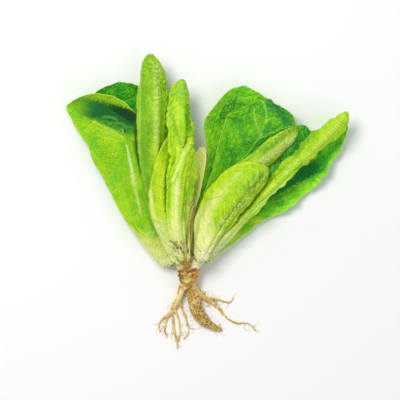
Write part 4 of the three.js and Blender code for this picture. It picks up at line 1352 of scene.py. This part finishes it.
# %% Root hairs
CLING = 0.45  # mm that a clinging thread stands off the skin
CLING_SPACING = 0.8  # mm between the rings of a clinging thread
HAIR_STEPS = 6
HAIR_SIDES = 4
TAPER = 0.6  # share of its girth that a hair loses towards its end
HAIR_REST = 0.35  # mm, how high a hair's line lies over the table at least
# Rows of limb, how many hairs, and for the free and the curly ones their usual length in mm.
FREE_HAIRS = [
    (5, 8, 9), (6, 6, 8), (7, 8, 8), (8, 7, 9), (9, 8, 9), (10, 5, 7), (11, 22, 6), (12, 10, 7),
    (13, 5, 6),
]
CLINGING_HAIRS = [(0, 6), (5, 12), (11, 110), (12, 12)]
CURLY_HAIRS = [(11, 24, 9), (12, 26, 9), (5, 10, 7)]
hair_luck = np.random.default_rng(41)


def hair(limb, length, girth, tangle, stretch):
    """One hair from a random place on a limb's stretch, as stations of x, y, z and radius."""
    stations = np.asarray(LIMBS[limb], float)
    at = hair_luck.uniform(*stretch)
    ahead = spline(stations, np.array([at, min(1, at + 0.03)]))
    centre, radius = ahead[0, :3], ahead[0, 3]
    course = math.atan2(*(ahead[1, :2] - centre[:2])[::-1])
    around = hair_luck.uniform(-1.2, 1.2)
    heading = course + around
    beside = np.array([-math.sin(course) * around, math.cos(course) * around, 0.5])
    spot = centre + 0.8 * radius * beside
    walk = [[*spot, girth]]
    for n in range(HAIR_STEPS):
        heading += hair_luck.uniform(-tangle, tangle)
        sink = max(HAIR_REST, spot[2] * hair_luck.uniform(0.45, 0.8))
        spot = np.array([
            spot[0] + math.cos(heading) * length / HAIR_STEPS,
            spot[1] + math.sin(heading) * length / HAIR_STEPS,
            sink,
        ])
        walk.append([*spot, girth * (1 - TAPER * (n + 1) / HAIR_STEPS)])
    return walk


def clinging_hair(limb, girth):
    """A thread that curls over a limb's skin, as stations of x, y, z and radius."""
    stations = np.asarray(LIMBS[limb], float)
    at = hair_luck.uniform(0.08, 0.92)
    turn = hair_luck.uniform(-1.3, 1.3)
    walk = []
    for _ in range(HAIR_STEPS + 1):
        here, ahead = spline(stations, np.array([at, min(1, at + 0.02)]))
        along = unit(ahead[:3] - here[:3])
        beside = np.array([along[1], -along[0], 0])
        outwards = beside * math.sin(turn) + np.array([0, 0, math.cos(turn)])
        spot = here[:3] + (here[3] + CLING) * outwards
        walk.append([spot[0], spot[1], max(spot[2], 2 * girth), girth])
        at = min(0.97, max(0.02, at + hair_luck.uniform(-0.03, 0.045)))
        turn += hair_luck.uniform(-0.5, 0.5)
    return walk


hairs = []


def grow(rows, lengths, girths, tangle, stretch):
    """Adds hairs; lengths are shares of the usual length and girths are radii in mm."""
    for limb, count, usual in rows:
        for _ in range(count):
            length, girth = usual * hair_luck.uniform(*lengths), hair_luck.uniform(*girths)
            walk = hair(limb, length, girth, tangle, stretch)
            hairs.append(tube(walk, HAIR_SIDES, usual / (HAIR_STEPS + 1)))


grow(FREE_HAIRS, (0.6, 1.5), (0.13, 0.22), 1.1, (0.25, 0.98))
for limb, count in CLINGING_HAIRS:
    for _ in range(count):
        walk = clinging_hair(limb, hair_luck.uniform(0.18, 0.32))
        hairs.append(tube(walk, HAIR_SIDES, CLING_SPACING))
grow(CURLY_HAIRS, (0.6, 1.4), (0.14, 0.24), 2.0, (0.05, 0.4))
root_hairs = join(hairs, "root_hairs")
bpy.ops.object.shade_smooth()
root_hairs.data.materials.clear()
root_hairs.data.materials.append(root_finish("root_hair", hairs=True))
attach(root_hairs, "root")
print("root hairs:", len(hairs), "faces:", len(root_hairs.data.polygons))

# %% [markdown]
# ## The dry stalk
# An old leaf has dried to a brown stalk between the two heads. It could be carved, but a tube
# along a curve is enough, as it is only as thick as a match.

# %% The dry stalk
TRIM_CLEARANCE = 0.4  # mm between the dry trim and what it lies on
STALK_TUBE = (12, 1.0)  # its sides, and mm between its rings
STALK = [  # x, y, height and radius in mm
    [-2.4, 0.5, 14.5, 1.7], [-2.2, 7, 19, 1.4], [-2, 16, 23, 1.1], [-1, 27, 25, 0.9],
    [0.2, 38, 25, 0.9], [2, 50, 25, 1.1], [4.5, 60, 25, 0.7],
]


def resting_height(x, y, wanted):
    """The wanted height, or higher where a leaf lies in the way."""
    lies_at = fine_ground.height[fine_ground.cell(np.array([x, y, 0.0]))]
    return max(wanted, float(lies_at) + TRIM_CLEARANCE)


def dry_finish(name, light, dark):
    """Streaked dry skin, greener away from the crown, with brown blotches."""
    paint = Finish(name)
    x, y, z = paint.parts(paint.add("ShaderNodeTexCoord", output=3))
    streak = paint.noise(paint.vector(x * 4.0, y * 0.5, z * 4.0), 420.0, 3.0)
    blotch = paint.noise(paint.vector(x, y, z), 220.0, 3.0)
    body = paint.mix(paint.step(streak, 0.4, 0.65), colour(light), colour(dark))
    body = paint.mix(paint.step(y, 0.012, 0.026) * 0.8, body, colour("b8b85c"))
    body = paint.mix(paint.step(blotch, 0.55, 0.7) * 0.7, body, colour("6a4412"))
    return paint.surface(Base_Color=body, Roughness=0.6, Normal=paint.bump(streak, 0.0004))


stalk = tube([[x, y, resting_height(x, y, z - r) + r, r] for x, y, z, r in STALK], *STALK_TUBE)
stalk.name = stalk.data.name = "dry_stalk"
bpy.ops.object.shade_smooth()
stalk.data.materials.clear()
stalk.data.materials.append(dry_finish("dry_stalk_skin", "dca63c", "b9741c"))
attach(stalk, "root")
print("stalk heights:", [round(resting_height(x, y, z - r), 1) for x, y, z, r in STALK])

# %% [markdown]
# ## The dry scraps
# Shreds of old leaf bases stick out round the crown and the stalk, some brown and some pale.
# Each could be a flat card with a torn image on it, but as a small curled grid with a thickness
# it also holds up from the side.

# %% The dry scraps
SCRAPS = [  # x, y, heading in degrees, length, width, and whether it is a brown one
    (-11, 29, 20, 5, 2.2, True), (-8, 26, -50, 4.5, 1.8, True), (-5, 28, -70, 6, 1.8, True),
    (-3, 30, 75, 6, 2.4, False), (-1, 34, 110, 5, 2.6, False), (-4, 23, 60, 4, 2, False),
    (-9, 22, 130, 5, 2, False), (2, 61, 30, 6, 3, False), (4, 58, -30, 5, 2.6, False),
    (0, 22, -80, 6, 1.6, True), (-13, 25, 160, 5, 2, False), (-2, 14, 100, 5, 1.8, True),
]
SCRAP_THICKNESS = 0.3  # mm
SCRAP_HEIGHT = 14  # mm, where a scrap lies if no leaf is under it
SCRAP_TINTS = dict(brown_scraps=("a27a3a", "5c4012"), pale_scraps=("f2eea0", "d8c860"))


def scrap(number, x, y, heading, length, width):
    """A small grid, pinched to a point at either end and curled, with a thickness."""
    piece = grid_object("scrap_%d" % number, 5, 2)
    spots = co_of(piece.data)
    u, v = spots[:, 1] * 2, spots[:, 0] * 2
    half = width / 2 * (1 - 0.85 * np.abs(u) ** 1.5) * v
    turn = math.radians(heading)
    ahead, up = u * length / 2, 0.5 + 0.9 * v**2 * (1 - u**2) + 1.2 * np.maximum(0, u) ** 2
    place = np.stack([
        x + ahead * math.cos(turn) - half * math.sin(turn),
        y + ahead * math.sin(turn) + half * math.cos(turn),
        up,
    ], 1)
    place[:, 2] += resting_height(x, y, SCRAP_HEIGHT)
    piece.data.vertices.foreach_set("co", (place * MM).ravel())
    apply(piece, "SOLIDIFY", thickness=SCRAP_THICKNESS * MM, offset=0)
    return piece


for name, tints in SCRAP_TINTS.items():
    brown = name == "brown_scraps"
    pieces = [scrap(n, *row[:5]) for n, row in enumerate(SCRAPS) if row[5] == brown]
    scraps = join(pieces, name)
    bpy.ops.object.shade_smooth()
    scraps.data.materials.append(dry_finish(name + "_skin", *tints))
    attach(scraps, "root")
    print(name, len(pieces))

# %% [markdown]
# ## Floor, light and sky
# A plain pale floor takes the soft shadows. A sun would cut them hard and a sky alone would
# leave none, so one wide lamp stands above and behind, a weaker one across from it, and a pale
# sky keeps the shade between the leaves open.

# %% Floor and light
FLOOR_WIDTH = 6
FLOOR_TINT = (0.93, 0.935, 0.94, 1)
SKY_TINT, SKY_STRENGTH = (0.95, 0.97, 1.0, 1), 0.47

bpy.ops.object.select_all(action="DESELECT")
bpy.ops.mesh.primitive_plane_add(size=FLOOR_WIDTH, location=(0, 0, 0))
floor = bpy.context.object
floor.name = "floor"
floor_paint = Finish("pale_floor")
floor.data.materials.append(floor_paint.surface(Base_Color=FLOOR_TINT, Roughness=0.6))


def lamp(name, place, size, power, tint):
    """A square lamp in metres and watts that faces the middle of the view."""
    bpy.ops.object.light_add(type="AREA", location=place)
    light = bpy.context.object
    light.name = name
    light.data.size = size
    light.data.energy = power
    light.data.color = tint
    away = np.array(place) - np.array([*VIEW_CENTRE, 0])
    tilt = math.atan2(math.hypot(away[0], away[1]), away[2])
    light.rotation_euler = (tilt, 0, math.atan2(away[0], -away[1]))


lamp("key_lamp", (-0.5, 0.66, 1.46), 0.68, 17.8, (1.0, 0.98, 0.94))
lamp("fill_lamp", (0.9, -0.6, 1.3), 1.2, 3, (0.94, 0.97, 1.0))
world = bpy.data.worlds.new("pale_sky")
world.use_nodes = True
sky = world.node_tree.nodes["Background"]
sky.inputs["Color"].default_value = SKY_TINT
sky.inputs["Strength"].default_value = SKY_STRENGTH
bpy.context.scene.world = world
bpy.context.scene.view_settings.view_transform = "Standard"
bpy.context.scene.view_settings.look = "None"
